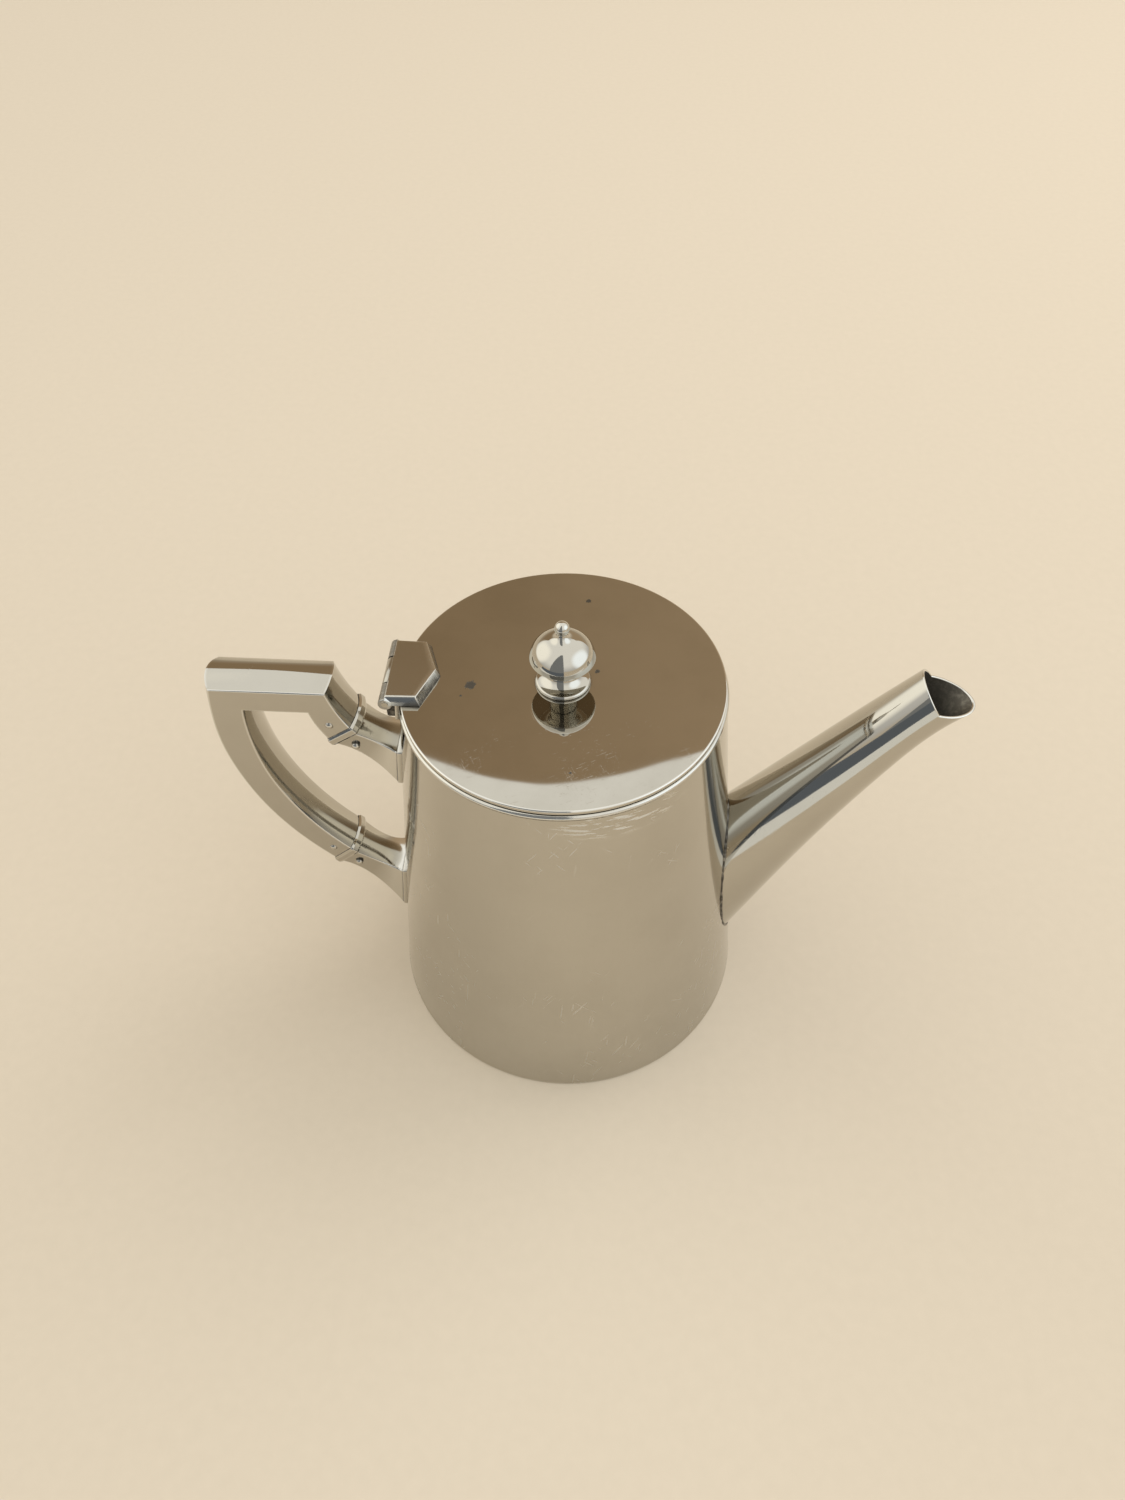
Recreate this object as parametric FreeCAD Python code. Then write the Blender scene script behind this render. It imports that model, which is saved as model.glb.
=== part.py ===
import FreeCAD, Part
import math
import os

# Straight-sided coffee pot with a hinged lid. Millimetres, Z up, X towards the spout.
# The origin is the centre of the underside, on the table.

Vector = FreeCAD.Vector

# Pot wall and bottom
BASE_RADIUS = 53.9
MOUTH_RADIUS = 42.3
WALL_HEIGHT = 120.6
WALL = 1.2
BOTTOM = 1.4
RIM_HEIGHT = 1.6
RIM_PROUD = 0.3

# Spout: a tube whose top line is straight, measured square to that line
SPOUT_TOP_HEIGHT = 74.4
SPOUT_ANGLE = 52.5
SPOUT_WALL = 1.1
SPOUT_ROOT_BACK = 52.0
SPOUT_ROOT_DEPTH = 38.9
SPOUT_ROOT_WIDTH = 37.4
SPOUT_ROOT_RUN = 28.0
SPOUT_BELLY_DEPTH = 32.4
SPOUT_BELLY_WIDTH = 31.0
SPOUT_BELLY_RUN = 29.0
SPOUT_WAIST_DEPTH = 25.1
SPOUT_WAIST_WIDTH = 24.9
SPOUT_WAIST_RUN = 41.0
SPOUT_NECK_DEPTH = 17.0
SPOUT_NECK_WIDTH = 17.9
SPOUT_NECK_RUN = 16.0
SPOUT_THROAT_DEPTH = 15.6
SPOUT_THROAT_WIDTH = 15.3
SPOUT_THROAT_RUN = 14.0
SPOUT_LIP_DEPTH = 18.4
SPOUT_LIP_WIDTH = 13.8
MOUTH_CUT_RUN = 6.0
MOUTH_CUT_DEPTH = 7.4
MOUTH_CUT_ANGLE = 124.0
LIP_ANGLE = -12.0

# Strainer holes through the wall behind the spout
STRAINER_ROWS = (1, 2, 3, 2, 1)
STRAINER_RADIUS = 2.6
STRAINER_PITCH = 8.0
STRAINER_DROP = 29.4

# Handle: the collars stand off the wall, the upper one below the mouth, the lower one above the table
UPPER_COLLAR_REACH = 15.4
UPPER_COLLAR_DROP = 15.0
UPPER_COLLAR_ANGLE = -54.0
LOWER_COLLAR_REACH = 18.0
LOWER_COLLAR_HEIGHT = 49.7
LOWER_COLLAR_ANGLE = -47.0
GRIP_WIDTH = 12.4
GRIP_CROWN = 1.6
GRIP_EDGE = 0.5
GRIP_RISE = 16.0
GRIP_BAR = 7.2
LEG_DEPTH = 8.0
LEG_LEAN = 20.0
LEG_HOLLOW = 0.5
BOW_RADIUS = 82.0
BOW_STEPS = 4
BOW_TOP_DEPTH = 8.6
BOW_END_DEPTH = 7.6
COLLAR_LENGTH = 2.8
COLLAR_FLAT = 1.6
COLLAR_PROUD = 0.7
COLLAR_EDGE = 0.25
TENON_END = 2.7
TENON_DEPTH = 3.4
TENON_WIDTH = 7.0
TENON_CLEARANCE = 0.1
PIN_RADIUS = 1.15
PIN_STEP = 5.0
PIN_PROUD = 0.55
PIN_CLEARANCE = 0.02

# Sockets and their pads on the wall
SOCKET_DEPTH = 7.2
UPPER_SOCKET_WAIST = 7.4
LOWER_SOCKET_WAIST = 8.8
SOCKET_LIFT = 0.4
WAIST_SHARE = 0.58
WAIST_WIDTH = 10.8
WAIST_CROWN = 0.9
PAD_WIDTH = 13.8
PAD_THICKNESS = 0.8
PAD_CROWN = 0.3
PAD_BORDER = 0.2
PAD_LEDGE = 0.3
UPPER_PAD_DROP = 19.9
UPPER_PAD_HEIGHT = 13.9
LOWER_PAD_LOW = 24.2
LOWER_PAD_HEIGHT = 19.2

# Lid
LID_INSET = 0.6
LID_THICKNESS = 1.2
LID_GAP = 0.3
LID_EDGE = 0.35
FLANGE_HEIGHT = 5.0
FLANGE_WALL = 1.0
FLANGE_CLEARANCE = 0.5

# Hinge
HINGE_REACH = 2.4
HINGE_RISE = 0.3
BARREL_RADIUS = 1.8
BARREL_LENGTH = 22.0
MIDDLE_KNUCKLE = 9.0
KNUCKLE_GAP = 0.3
HINGE_PIN_RADIUS = 0.8
HINGE_PIN_CLEARANCE = 0.05
COVER_RISE = 2.6
COVER_SHOULDER = 8.9
COVER_NOSE = 3.8
COVER_SHOULDER_WIDTH = 21.8
COVER_BACK_WIDTH = 22.4
COVER_SLOPE = 1.0
LEAF_THICKNESS = 1.3
LEAF_WIDTH = 12.0
LEAF_HEIGHT = 8.0
WEB_THICKNESS = 2.6

# Finial, from the foot up; a hollow or swell is how far an arc stands off its chord
FOOT_RADIUS = 7.1
FOOT_HEIGHT = 1.3
FLARE_HEIGHT = 3.9
FLARE_HOLLOW = 1.0
STEM_RADIUS = 3.4
STEM_HEIGHT = 3.7
CAP_RADIUS = 8.4
CAP_EDGE = 0.7
CAP_EDGE_HEIGHT = 0.8
CAP_EDGE_SWELL = 0.2
CAP_RISE = 5.2
CAP_SWELL = 1.2
CAP_SHOULDER = 3.2
NECK_RADIUS = 1.1
NECK_RISE = 2.1
NECK_HOLLOW = 0.4
BALL_RADIUS = 1.95
STUD_RADIUS = 2.0
STUD_CLEARANCE = 0.1
THREAD_CLEARANCE = 0.02
STUD_END = 0.8
WASHER_RADIUS = 5.0
WASHER_THICKNESS = 0.8
NUT_RADIUS = 4.0
NUT_HEIGHT = 2.6

# Places that follow from the sizes above
RIM_TOP = WALL_HEIGHT + RIM_HEIGHT
LID_UNDER = RIM_TOP + LID_GAP
LID_TOP = LID_UNDER + LID_THICKNESS
LID_RADIUS = MOUTH_RADIUS + RIM_PROUD - LID_INSET
HINGE_X = -(LID_RADIUS + HINGE_REACH)
HINGE_Z = LID_TOP + HINGE_RISE
MOUTH_BORE = MOUTH_RADIUS - WALL
UPPER_COLLAR_HEIGHT = WALL_HEIGHT - UPPER_COLLAR_DROP
UPPER_PAD_HIGH = WALL_HEIGHT - UPPER_PAD_DROP
UPPER_PAD_LOW = UPPER_PAD_HIGH - UPPER_PAD_HEIGHT
LOWER_PAD_HIGH = LOWER_PAD_LOW + LOWER_PAD_HEIGHT
GRIP_TOP = UPPER_COLLAR_HEIGHT + GRIP_RISE
FAR = 300.0


def wall_radius(height):
    """Outer radius of the tapered wall at a height."""
    return BASE_RADIUS + (MOUTH_RADIUS - BASE_RADIUS) * height / WALL_HEIGHT


def wall_cone(inset, low, high):
    """Solid cone that lies a set distance inside the wall's outer face."""
    return Part.makeCone(wall_radius(low) - inset, wall_radius(high) - inset, high - low, Vector(0, 0, low))


def whole_pot():
    """Solid of the pot's outside, taken past both ends to trim what sits on the wall."""
    return wall_cone(0, -WALL_HEIGHT / 4, WALL_HEIGHT * 5 / 4)


def turned(edges):
    """Solid of revolution about Z from the edges of half a profile in the XZ plane."""
    face = Part.Face(Part.Wire(edges))
    return face.revolve(Vector(0, 0, 0), Vector(0, 0, 1), 360)


def line(start, end):
    return Part.LineSegment(start, end).toShape()


def arc(start, middle, end):
    return Part.Arc(start, middle, end).toShape()


def bowed(start, end, rise):
    """Arc whose middle stands off its chord by a set distance, to the left of its way."""
    chord = (end - start).normalize()
    return arc(start, (start + end) * 0.5 + Vector(-chord.z, 0, chord.x) * rise, end)


def outline(points):
    """Closed run of straight edges through (x, z) points."""
    corners = [Vector(x, 0, z) for x, z in points]
    return [line(a, b) for a, b in zip(corners, corners[1:] + corners[:1])]


def slab(points, width):
    """Flat plate with an XZ outline, centred on the XZ plane."""
    face = Part.Face(Part.Wire(outline(points)))
    face.translate(Vector(0, -width / 2, 0))
    return face.extrude(Vector(0, width, 0))


def cross_cylinder(radius, x, z, length):
    """Cylinder along Y, centred on the XZ plane."""
    return Part.makeCylinder(radius, length, Vector(x, -length / 2, z), Vector(0, 1, 0))


def heading(angle):
    """Unit vector in the XZ plane, turned up from X."""
    turn = math.radians(angle)
    return Vector(math.cos(turn), 0, math.sin(turn))


def body_shell():
    """Tapered wall, pierced with rows of strainer holes where the spout joins."""
    outside = wall_cone(0, 0, WALL_HEIGHT)
    inside = wall_cone(WALL, -WALL, WALL_HEIGHT + WALL)
    shell = outside.cut(inside)
    middle_row = (len(STRAINER_ROWS) - 1) / 2
    for row, count in enumerate(STRAINER_ROWS):
        height = SPOUT_TOP_HEIGHT - STRAINER_DROP + (row - middle_row) * STRAINER_PITCH
        for hole in range(count):
            sideways = (hole - (count - 1) / 2) * STRAINER_PITCH
            start = Vector(wall_radius(height) / 2, sideways, height)
            shell = shell.cut(Part.makeCylinder(STRAINER_RADIUS, BASE_RADIUS, start, Vector(1, 0, 0)))
    return shell


def base_plate():
    """Flat bottom let into the lower end of the wall."""
    return wall_cone(WALL, 0, BOTTOM)


def mouth_rim():
    """Half-round bead on the top edge of the wall."""
    bead = RIM_HEIGHT / 2
    flat = MOUTH_RADIUS + RIM_PROUD - bead
    low = Vector(flat, 0, WALL_HEIGHT)
    high = Vector(flat, 0, RIM_TOP)
    edges = [
        line(Vector(MOUTH_BORE, 0, WALL_HEIGHT), low),
        arc(low, Vector(flat + bead, 0, WALL_HEIGHT + bead), high),
        line(high, Vector(MOUTH_BORE, 0, RIM_TOP)),
        line(Vector(MOUTH_BORE, 0, RIM_TOP), Vector(MOUTH_BORE, 0, WALL_HEIGHT)),
    ]
    return turned(edges)


def oval(top, down, depth, width):
    """Oval wire of four quarters that hangs from its top point along a direction in the XZ plane."""
    compass = [Vector(math.cos(turn), math.sin(turn), 0) for turn in (k * math.pi / 4 for k in range(9))]
    quarters = [arc(compass[k], compass[k + 1], compass[k + 2]) for k in range(0, 8, 2)]
    centre = top + down * (depth / 2)
    half = down * (depth / 2)
    square = Vector(down.z, 0, -down.x)
    matrix = FreeCAD.Matrix(half.x, 0, square.x, centre.x, 0, width / 2, 0, centre.y,
                            half.z, 0, square.z, centre.z, 0, 0, 0, 1)
    return Part.Wire(quarters).transformGeometry(matrix)


def spout_point(along, depth):
    """Point in the XZ plane, so far along the spout's top line and so deep below it."""
    start = Vector(wall_radius(SPOUT_TOP_HEIGHT), 0, SPOUT_TOP_HEIGHT)
    return start + heading(SPOUT_ANGLE) * along + heading(SPOUT_ANGLE - 90) * depth


def spout_tube(inset):
    """Tapered tube whose top line is straight and whose underside flares out into the lip."""
    stations = (
        (SPOUT_ROOT_DEPTH, SPOUT_ROOT_WIDTH, SPOUT_ROOT_RUN),
        (SPOUT_BELLY_DEPTH, SPOUT_BELLY_WIDTH, SPOUT_BELLY_RUN),
        (SPOUT_WAIST_DEPTH, SPOUT_WAIST_WIDTH, SPOUT_WAIST_RUN),
        (SPOUT_NECK_DEPTH, SPOUT_NECK_WIDTH, SPOUT_NECK_RUN),
        (SPOUT_THROAT_DEPTH, SPOUT_THROAT_WIDTH, SPOUT_THROAT_RUN),
        (SPOUT_LIP_DEPTH, SPOUT_LIP_WIDTH, 0),
    )
    along = -SPOUT_ROOT_BACK
    down = heading(SPOUT_ANGLE - 90)
    rings = []
    for depth, width, run in stations:
        rings.append(oval(spout_point(along, inset), down, depth - 2 * inset, width - 2 * inset))
        along += run
    return Part.makeLoft(rings, True, False)


def mouth_cut():
    """Wedge that squares off the top of the spout's mouth and levels its lip."""
    throat = SPOUT_ROOT_RUN + SPOUT_BELLY_RUN + SPOUT_WAIST_RUN + SPOUT_NECK_RUN - SPOUT_ROOT_BACK
    corner = spout_point(throat + MOUTH_CUT_RUN, MOUTH_CUT_DEPTH)
    back = corner + heading(MOUTH_CUT_ANGLE) * FAR
    front = corner + heading(LIP_ANGLE) * FAR
    top = corner.z + FAR
    points = [(corner.x, corner.z), (front.x, front.z), (front.x, top), (back.x, top), (back.x, back.z)]
    return slab(points, FAR)


def spout():
    tube = spout_tube(0).cut(spout_tube(SPOUT_WALL))
    return tube.cut(whole_pot()).cut(mouth_cut())


def band(outer, inner, width, crown):
    """Bar section through two points: flat sides, crowned outer and inner faces, eased edges."""
    depth = (outer - inner).Length
    out = (outer - inner) * (1 / depth)
    middle = (outer + inner) * 0.5
    half = width / 2
    radius = (half ** 2 + crown ** 2) / (2 * crown)
    hub = depth / 2 + crown - radius
    ease_y = half - GRIP_EDGE
    ease_s = hub + math.sqrt((radius - GRIP_EDGE) ** 2 - ease_y ** 2)
    grow = radius / (radius - GRIP_EDGE)
    meet_y = ease_y * grow
    meet_s = hub + (ease_s - hub) * grow
    turn = math.atan2(meet_s - ease_s, meet_y - ease_y) / 2
    bend_y = ease_y + GRIP_EDGE * math.cos(turn)
    bend_s = ease_s + GRIP_EDGE * math.sin(turn)

    def at(y, s):
        return middle + out * s + Vector(0, y, 0)

    edges = []
    for side in (1, -1):
        edges.append(line(at(side * half, -side * ease_s), at(side * half, side * ease_s)))
        edges.append(arc(at(side * half, side * ease_s), at(side * bend_y, side * bend_s),
                         at(side * meet_y, side * meet_s)))
        edges.append(arc(at(side * meet_y, side * meet_s), at(0, side * (depth / 2 + crown)),
                         at(-side * meet_y, side * meet_s)))
        edges.append(arc(at(-side * meet_y, side * meet_s), at(-side * bend_y, side * bend_s),
                         at(-side * half, side * ease_s)))
    return Part.Wire(edges)


def collar_centre(reach, height):
    return Vector(-(wall_radius(height) + reach), 0, height)


UPPER = (collar_centre(UPPER_COLLAR_REACH, UPPER_COLLAR_HEIGHT), UPPER_COLLAR_ANGLE)
LOWER = (collar_centre(LOWER_COLLAR_REACH, LOWER_COLLAR_HEIGHT), LOWER_COLLAR_ANGLE)


def across(joint, step, depth):
    """Outer and inner points of a bar section square to a handle joint, a step along its axis."""
    centre, angle = joint
    middle = centre + heading(angle) * step
    side = heading(angle + 90) * (depth / 2)
    return middle + side, middle - side


def tenon_block(joint, clearance):
    """Block along a joint's axis: the tenon itself, or its pocket with a clearance."""
    ends = PIN_STEP + TENON_END + clearance
    depth = TENON_DEPTH + 2 * clearance
    corners = across(joint, -ends, depth) + across(joint, ends, depth)[::-1]
    return slab([(p.x, p.z) for p in corners], TENON_WIDTH + 2 * clearance)


def pin_holes(joint, clearance):
    """Two cylinders across a joint, one each side of its collar."""
    centre, angle = joint
    holes = []
    for side in (-1, 1):
        place = centre + heading(angle) * (side * PIN_STEP)
        holes.append(cross_cylinder(PIN_RADIUS + clearance, place.x, place.z, GRIP_WIDTH * 2))
    return holes[0].fuse(holes[1])


def bow_section(centre, angle, depth):
    """Outer and inner points of the grip's bow at an angle about its centre."""
    out = heading(angle)
    return centre + out * (BOW_RADIUS + depth / 2), centre + out * (BOW_RADIUS - depth / 2)


def level_point(centre, radius, height):
    """Point of a circle in the XZ plane at a height, on its left side."""
    rise = height - centre.z
    return Vector(centre.x - math.sqrt(radius ** 2 - rise ** 2), 0, height)


def grip_section(points, depth):
    """Grip section whose crown grows with its slant, so that mitred bars meet edge to edge."""
    outer, inner = points
    return band(outer, inner, GRIP_WIDTH, GRIP_CROWN * (outer - inner).Length / depth)


def handle_grip():
    """Leg, top bar and long bow, mitred into one grip, with a pocket at each end for a tenon."""
    leg_end = across(UPPER, -COLLAR_LENGTH / 2, LEG_DEPTH)
    slant = math.tan(math.radians(LEG_LEAN))
    levels = (GRIP_TOP, GRIP_TOP - GRIP_BAR)
    right = [Vector(p.x - (top - p.z) * slant, 0, top) for p, top in zip(leg_end, levels)]
    middle = [(a + b) * 0.5 - Vector(LEG_HOLLOW, 0, 0) for a, b in zip(leg_end, right)]
    leg = Part.makeLoft([grip_section(leg_end, LEG_DEPTH), grip_section(middle, LEG_DEPTH),
                         grip_section(right, GRIP_BAR)], True, False)

    centre = LOWER[0] + heading(LOWER_COLLAR_ANGLE + 90) * BOW_RADIUS
    left = [level_point(centre, BOW_RADIUS + BOW_TOP_DEPTH / 2, levels[0]),
            level_point(centre, BOW_RADIUS - BOW_TOP_DEPTH / 2, levels[1])]
    bar = Part.makeLoft([grip_section(right, GRIP_BAR), grip_section(left, GRIP_BAR)], True, True)

    first = math.degrees(math.atan2(left[1].z - centre.z, left[1].x - centre.x) + GRIP_BAR / BOW_RADIUS)
    last = 270.0 + LOWER_COLLAR_ANGLE
    rings = [grip_section(left, GRIP_BAR)]
    for step in range(BOW_STEPS):
        share = step / BOW_STEPS
        depth = BOW_TOP_DEPTH + (BOW_END_DEPTH - BOW_TOP_DEPTH) * share
        rings.append(grip_section(bow_section(centre, first + (last - first) * share, depth), depth))
    rings.append(grip_section(across(LOWER, -COLLAR_LENGTH / 2, BOW_END_DEPTH)[::-1], BOW_END_DEPTH))
    bow = Part.makeLoft(rings, True, False)

    grip = leg.fuse([bar, bow]).removeSplitter()
    for joint in (UPPER, LOWER):
        grip = grip.cut(tenon_block(joint, TENON_CLEARANCE)).cut(pin_holes(joint, PIN_CLEARANCE))
    return grip


def collar(joint, depth):
    """Raised band with sloped edges round the meeting of grip and socket."""
    rings = []
    for length, proud in ((-COLLAR_LENGTH, COLLAR_EDGE), (-COLLAR_FLAT, COLLAR_PROUD),
                          (COLLAR_FLAT, COLLAR_PROUD), (COLLAR_LENGTH, COLLAR_EDGE)):
        outer, inner = across(joint, length / 2, depth + 2 * proud)
        rings.append(band(outer, inner, GRIP_WIDTH + 2 * proud, GRIP_CROWN))
    return Part.makeLoft(rings, True, True).cut(tenon_block(joint, TENON_CLEARANCE))


def pad_face(low, high):
    """Upper and lower points of a socket pad's outer face."""
    return [Vector(-(wall_radius(z) + PAD_THICKNESS), 0, z) for z in (high, low)]


def pad_section(low, high, border, ledge):
    """Outline on a pad's outer face, the pad's own or drawn in by a border and, at its ends, a ledge."""
    top, bottom = pad_face(low, high)
    inset = (top - bottom).normalize() * (PAD_CROWN + ledge)
    return band(top - inset, bottom + inset, PAD_WIDTH - 2 * border, PAD_CROWN)


def socket_pad(low, high):
    """Plate on the wall that carries a handle socket."""
    plate = Part.Face(pad_section(low, high, 0, 0)).extrude(Vector(BASE_RADIUS / 2, 0, 0))
    return plate.cut(whole_pot())


def socket(joint, waist, low, high):
    """Flared arm from a collar to its pad, hollowed for the tenon."""
    start = across(joint, COLLAR_LENGTH / 2, SOCKET_DEPTH)
    face = pad_face(low, high)
    near, far = (start[0] + start[1]) * 0.5, (face[0] + face[1]) * 0.5
    middle = near + (far - near) * WAIST_SHARE + Vector(0, 0, SOCKET_LIFT)
    lean = ((start[0] - start[1]).normalize() + (face[0] - face[1]).normalize()).normalize()
    half = lean * (waist / 2)
    rings = [band(start[0], start[1], GRIP_WIDTH, GRIP_CROWN),
             band(middle + half, middle - half, WAIST_WIDTH, WAIST_CROWN),
             pad_section(low, high, PAD_BORDER, PAD_LEDGE)]
    arm = Part.makeLoft(rings, True, False)
    return arm.cut(tenon_block(joint, TENON_CLEARANCE)).cut(pin_holes(joint, PIN_CLEARANCE))


def tenon(joint):
    """Heat break inside a collar, drilled for the two cross pins."""
    return tenon_block(joint, 0).cut(pin_holes(joint, PIN_CLEARANCE))


def cross_pin(joint, side):
    """Pin across the handle with a low dome at each end."""
    centre, angle = joint
    place = centre + heading(angle) * (side * PIN_STEP)
    half = GRIP_WIDTH / 2
    tip = half + PIN_PROUD
    dome = (PIN_RADIUS ** 2 + PIN_PROUD ** 2) / (2 * PIN_PROUD)
    turn = math.asin(PIN_RADIUS / dome) / 2
    swell = dome * math.sin(turn)
    crest = tip - dome * (1 - math.cos(turn))
    rim = Vector(PIN_RADIUS, 0, half)
    foot = Vector(PIN_RADIUS, 0, -half)
    edges = [
        line(foot, rim),
        arc(rim, Vector(swell, 0, crest), Vector(0, 0, tip)),
        line(Vector(0, 0, tip), Vector(0, 0, -tip)),
        arc(Vector(0, 0, -tip), Vector(swell, 0, -crest), foot),
    ]
    pin = turned(edges)
    pin.rotate(Vector(0, 0, 0), Vector(1, 0, 0), 90)
    pin.translate(place)
    return pin


def hinge_bore(clearance, length):
    return cross_cylinder(HINGE_PIN_RADIUS + clearance, HINGE_X, HINGE_Z, length)


def hinge_pin():
    return hinge_bore(0, BARREL_LENGTH)


def hinge_leaf():
    """Curved plate on the wall, with a web up to the hinge's middle knuckle."""
    high = WALL_HEIGHT
    low = high - LEAF_HEIGHT
    plate = wall_cone(-LEAF_THICKNESS, low, high)
    trim = Part.makeBox(BASE_RADIUS, LEAF_WIDTH, high, Vector(-BASE_RADIUS * 1.5, -LEAF_WIDTH / 2, 0))
    plate = plate.common(trim)
    left = HINGE_X - BARREL_RADIUS
    web = slab([(left, HINGE_Z), (left, low), (0, low), (0, high), (left + WEB_THICKNESS, high),
                (left + WEB_THICKNESS, HINGE_Z)], MIDDLE_KNUCKLE)
    knuckle = cross_cylinder(BARREL_RADIUS, HINGE_X, HINGE_Z, MIDDLE_KNUCKLE)
    leaf = plate.fuse([web, knuckle]).cut(whole_pot())
    return leaf.cut(hinge_bore(0, BARREL_LENGTH))


def cover_outline(inset, height):
    """Pointed plan of the hinge cover at a height, drawn in by an inset."""
    back = HINGE_X - BARREL_RADIUS
    half_back = COVER_BACK_WIDTH / 2 - inset
    half_front = COVER_SHOULDER_WIDTH / 2 - inset
    points = [(back, -half_back), (HINGE_X + COVER_SHOULDER - inset, -half_front),
              (HINGE_X + COVER_SHOULDER + COVER_NOSE - inset, 0),
              (HINGE_X + COVER_SHOULDER - inset, half_front),
              (back, half_back)]
    corners = [Vector(x, y, height) for x, y in points]
    return Part.makePolygon(corners + corners[:1])


def hinge_cover():
    """Pointed block on the lid with sloped sides, rolled round the pin at its back end."""
    top = LID_TOP + COVER_RISE
    block = Part.makeLoft([cover_outline(0, LID_TOP), cover_outline(COVER_SLOPE, top)], True, True)
    back = HINGE_X - BARREL_RADIUS
    crest = HINGE_Z + BARREL_RADIUS
    nose = slab([(back, LID_TOP), (HINGE_X, LID_TOP), (HINGE_X, crest), (HINGE_X + 2 * BARREL_RADIUS, FAR),
                 (back, FAR)], BARREL_LENGTH * 2)
    barrel = cross_cylinder(BARREL_RADIUS, HINGE_X, HINGE_Z, BARREL_LENGTH)
    cover = block.cut(nose).fuse(barrel)
    room = BARREL_RADIUS + KNUCKLE_GAP
    slot_width = MIDDLE_KNUCKLE + 2 * KNUCKLE_GAP
    slot = cross_cylinder(room, HINGE_X, HINGE_Z, slot_width)
    behind = slab([(back, 0), (HINGE_X, 0), (HINGE_X, FAR), (back, FAR)], slot_width)
    return cover.cut(slot.fuse(behind)).cut(hinge_bore(HINGE_PIN_CLEARANCE, FAR))


def lid_plate():
    """Flat disc with an eased top edge and a hole for the finial's stud."""
    hole = STUD_RADIUS + STUD_CLEARANCE
    points = [(hole, LID_UNDER), (LID_RADIUS, LID_UNDER), (LID_RADIUS, LID_TOP - LID_EDGE),
              (LID_RADIUS - LID_EDGE, LID_TOP), (hole, LID_TOP)]
    return turned(outline(points))


def lid_flange():
    """Bezel ring under the lid that drops into the mouth."""
    outer = MOUTH_BORE - FLANGE_CLEARANCE
    inner = outer - FLANGE_WALL
    low = LID_UNDER - FLANGE_HEIGHT
    return turned(outline([(inner, low), (outer, low), (outer, LID_UNDER), (inner, LID_UNDER)]))


def finial_knob():
    """Turned finial: foot, hollow stem, domed cap, neck and ball, on a stud through the lid."""
    def at(radius, height):
        return Vector(radius, 0, LID_TOP + height)

    stud_end = -(LID_THICKNESS + WASHER_THICKNESS + NUT_HEIGHT + STUD_END)
    bead = FOOT_HEIGHT / 2
    flare_top = FOOT_HEIGHT + FLARE_HEIGHT
    cap_under = flare_top + STEM_HEIGHT
    cap_edge = cap_under + CAP_EDGE_HEIGHT
    cap_top = cap_edge + CAP_RISE
    neck_top = cap_top + NECK_RISE
    ball = neck_top + math.sqrt(BALL_RADIUS ** 2 - NECK_RADIUS ** 2)
    edges = [
        line(at(0, stud_end), at(STUD_RADIUS, stud_end)),
        line(at(STUD_RADIUS, stud_end), at(STUD_RADIUS, 0)),
        line(at(STUD_RADIUS, 0), at(FOOT_RADIUS - bead, 0)),
        bowed(at(FOOT_RADIUS - bead, 0), at(FOOT_RADIUS - bead, FOOT_HEIGHT), -bead),
        bowed(at(FOOT_RADIUS - bead, FOOT_HEIGHT), at(STEM_RADIUS, flare_top), FLARE_HOLLOW),
        line(at(STEM_RADIUS, flare_top), at(STEM_RADIUS, cap_under)),
        line(at(STEM_RADIUS, cap_under), at(CAP_RADIUS - CAP_EDGE, cap_under)),
        bowed(at(CAP_RADIUS - CAP_EDGE, cap_under), at(CAP_RADIUS, cap_edge), -CAP_EDGE_SWELL),
        bowed(at(CAP_RADIUS, cap_edge), at(CAP_SHOULDER, cap_top), -CAP_SWELL),
        bowed(at(CAP_SHOULDER, cap_top), at(NECK_RADIUS, neck_top), NECK_HOLLOW),
        arc(at(NECK_RADIUS, neck_top), at(BALL_RADIUS, ball), at(0, ball + BALL_RADIUS)),
        line(at(0, ball + BALL_RADIUS), at(0, stud_end)),
    ]
    return turned(edges)


def finial_washer():
    hole = STUD_RADIUS + STUD_CLEARANCE
    low = LID_UNDER - WASHER_THICKNESS
    return turned(outline([(hole, low), (WASHER_RADIUS, low), (WASHER_RADIUS, LID_UNDER), (hole, LID_UNDER)]))


def finial_nut():
    """Hexagon nut under the washer."""
    low = LID_UNDER - WASHER_THICKNESS - NUT_HEIGHT
    corners = [Vector(NUT_RADIUS * math.cos(k * math.pi / 3), NUT_RADIUS * math.sin(k * math.pi / 3), low)
               for k in range(7)]
    block = Part.Face(Part.makePolygon(corners)).extrude(Vector(0, 0, NUT_HEIGHT))
    return block.cut(Part.makeCylinder(STUD_RADIUS + THREAD_CLEARANCE, NUT_HEIGHT, Vector(0, 0, low)))


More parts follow.
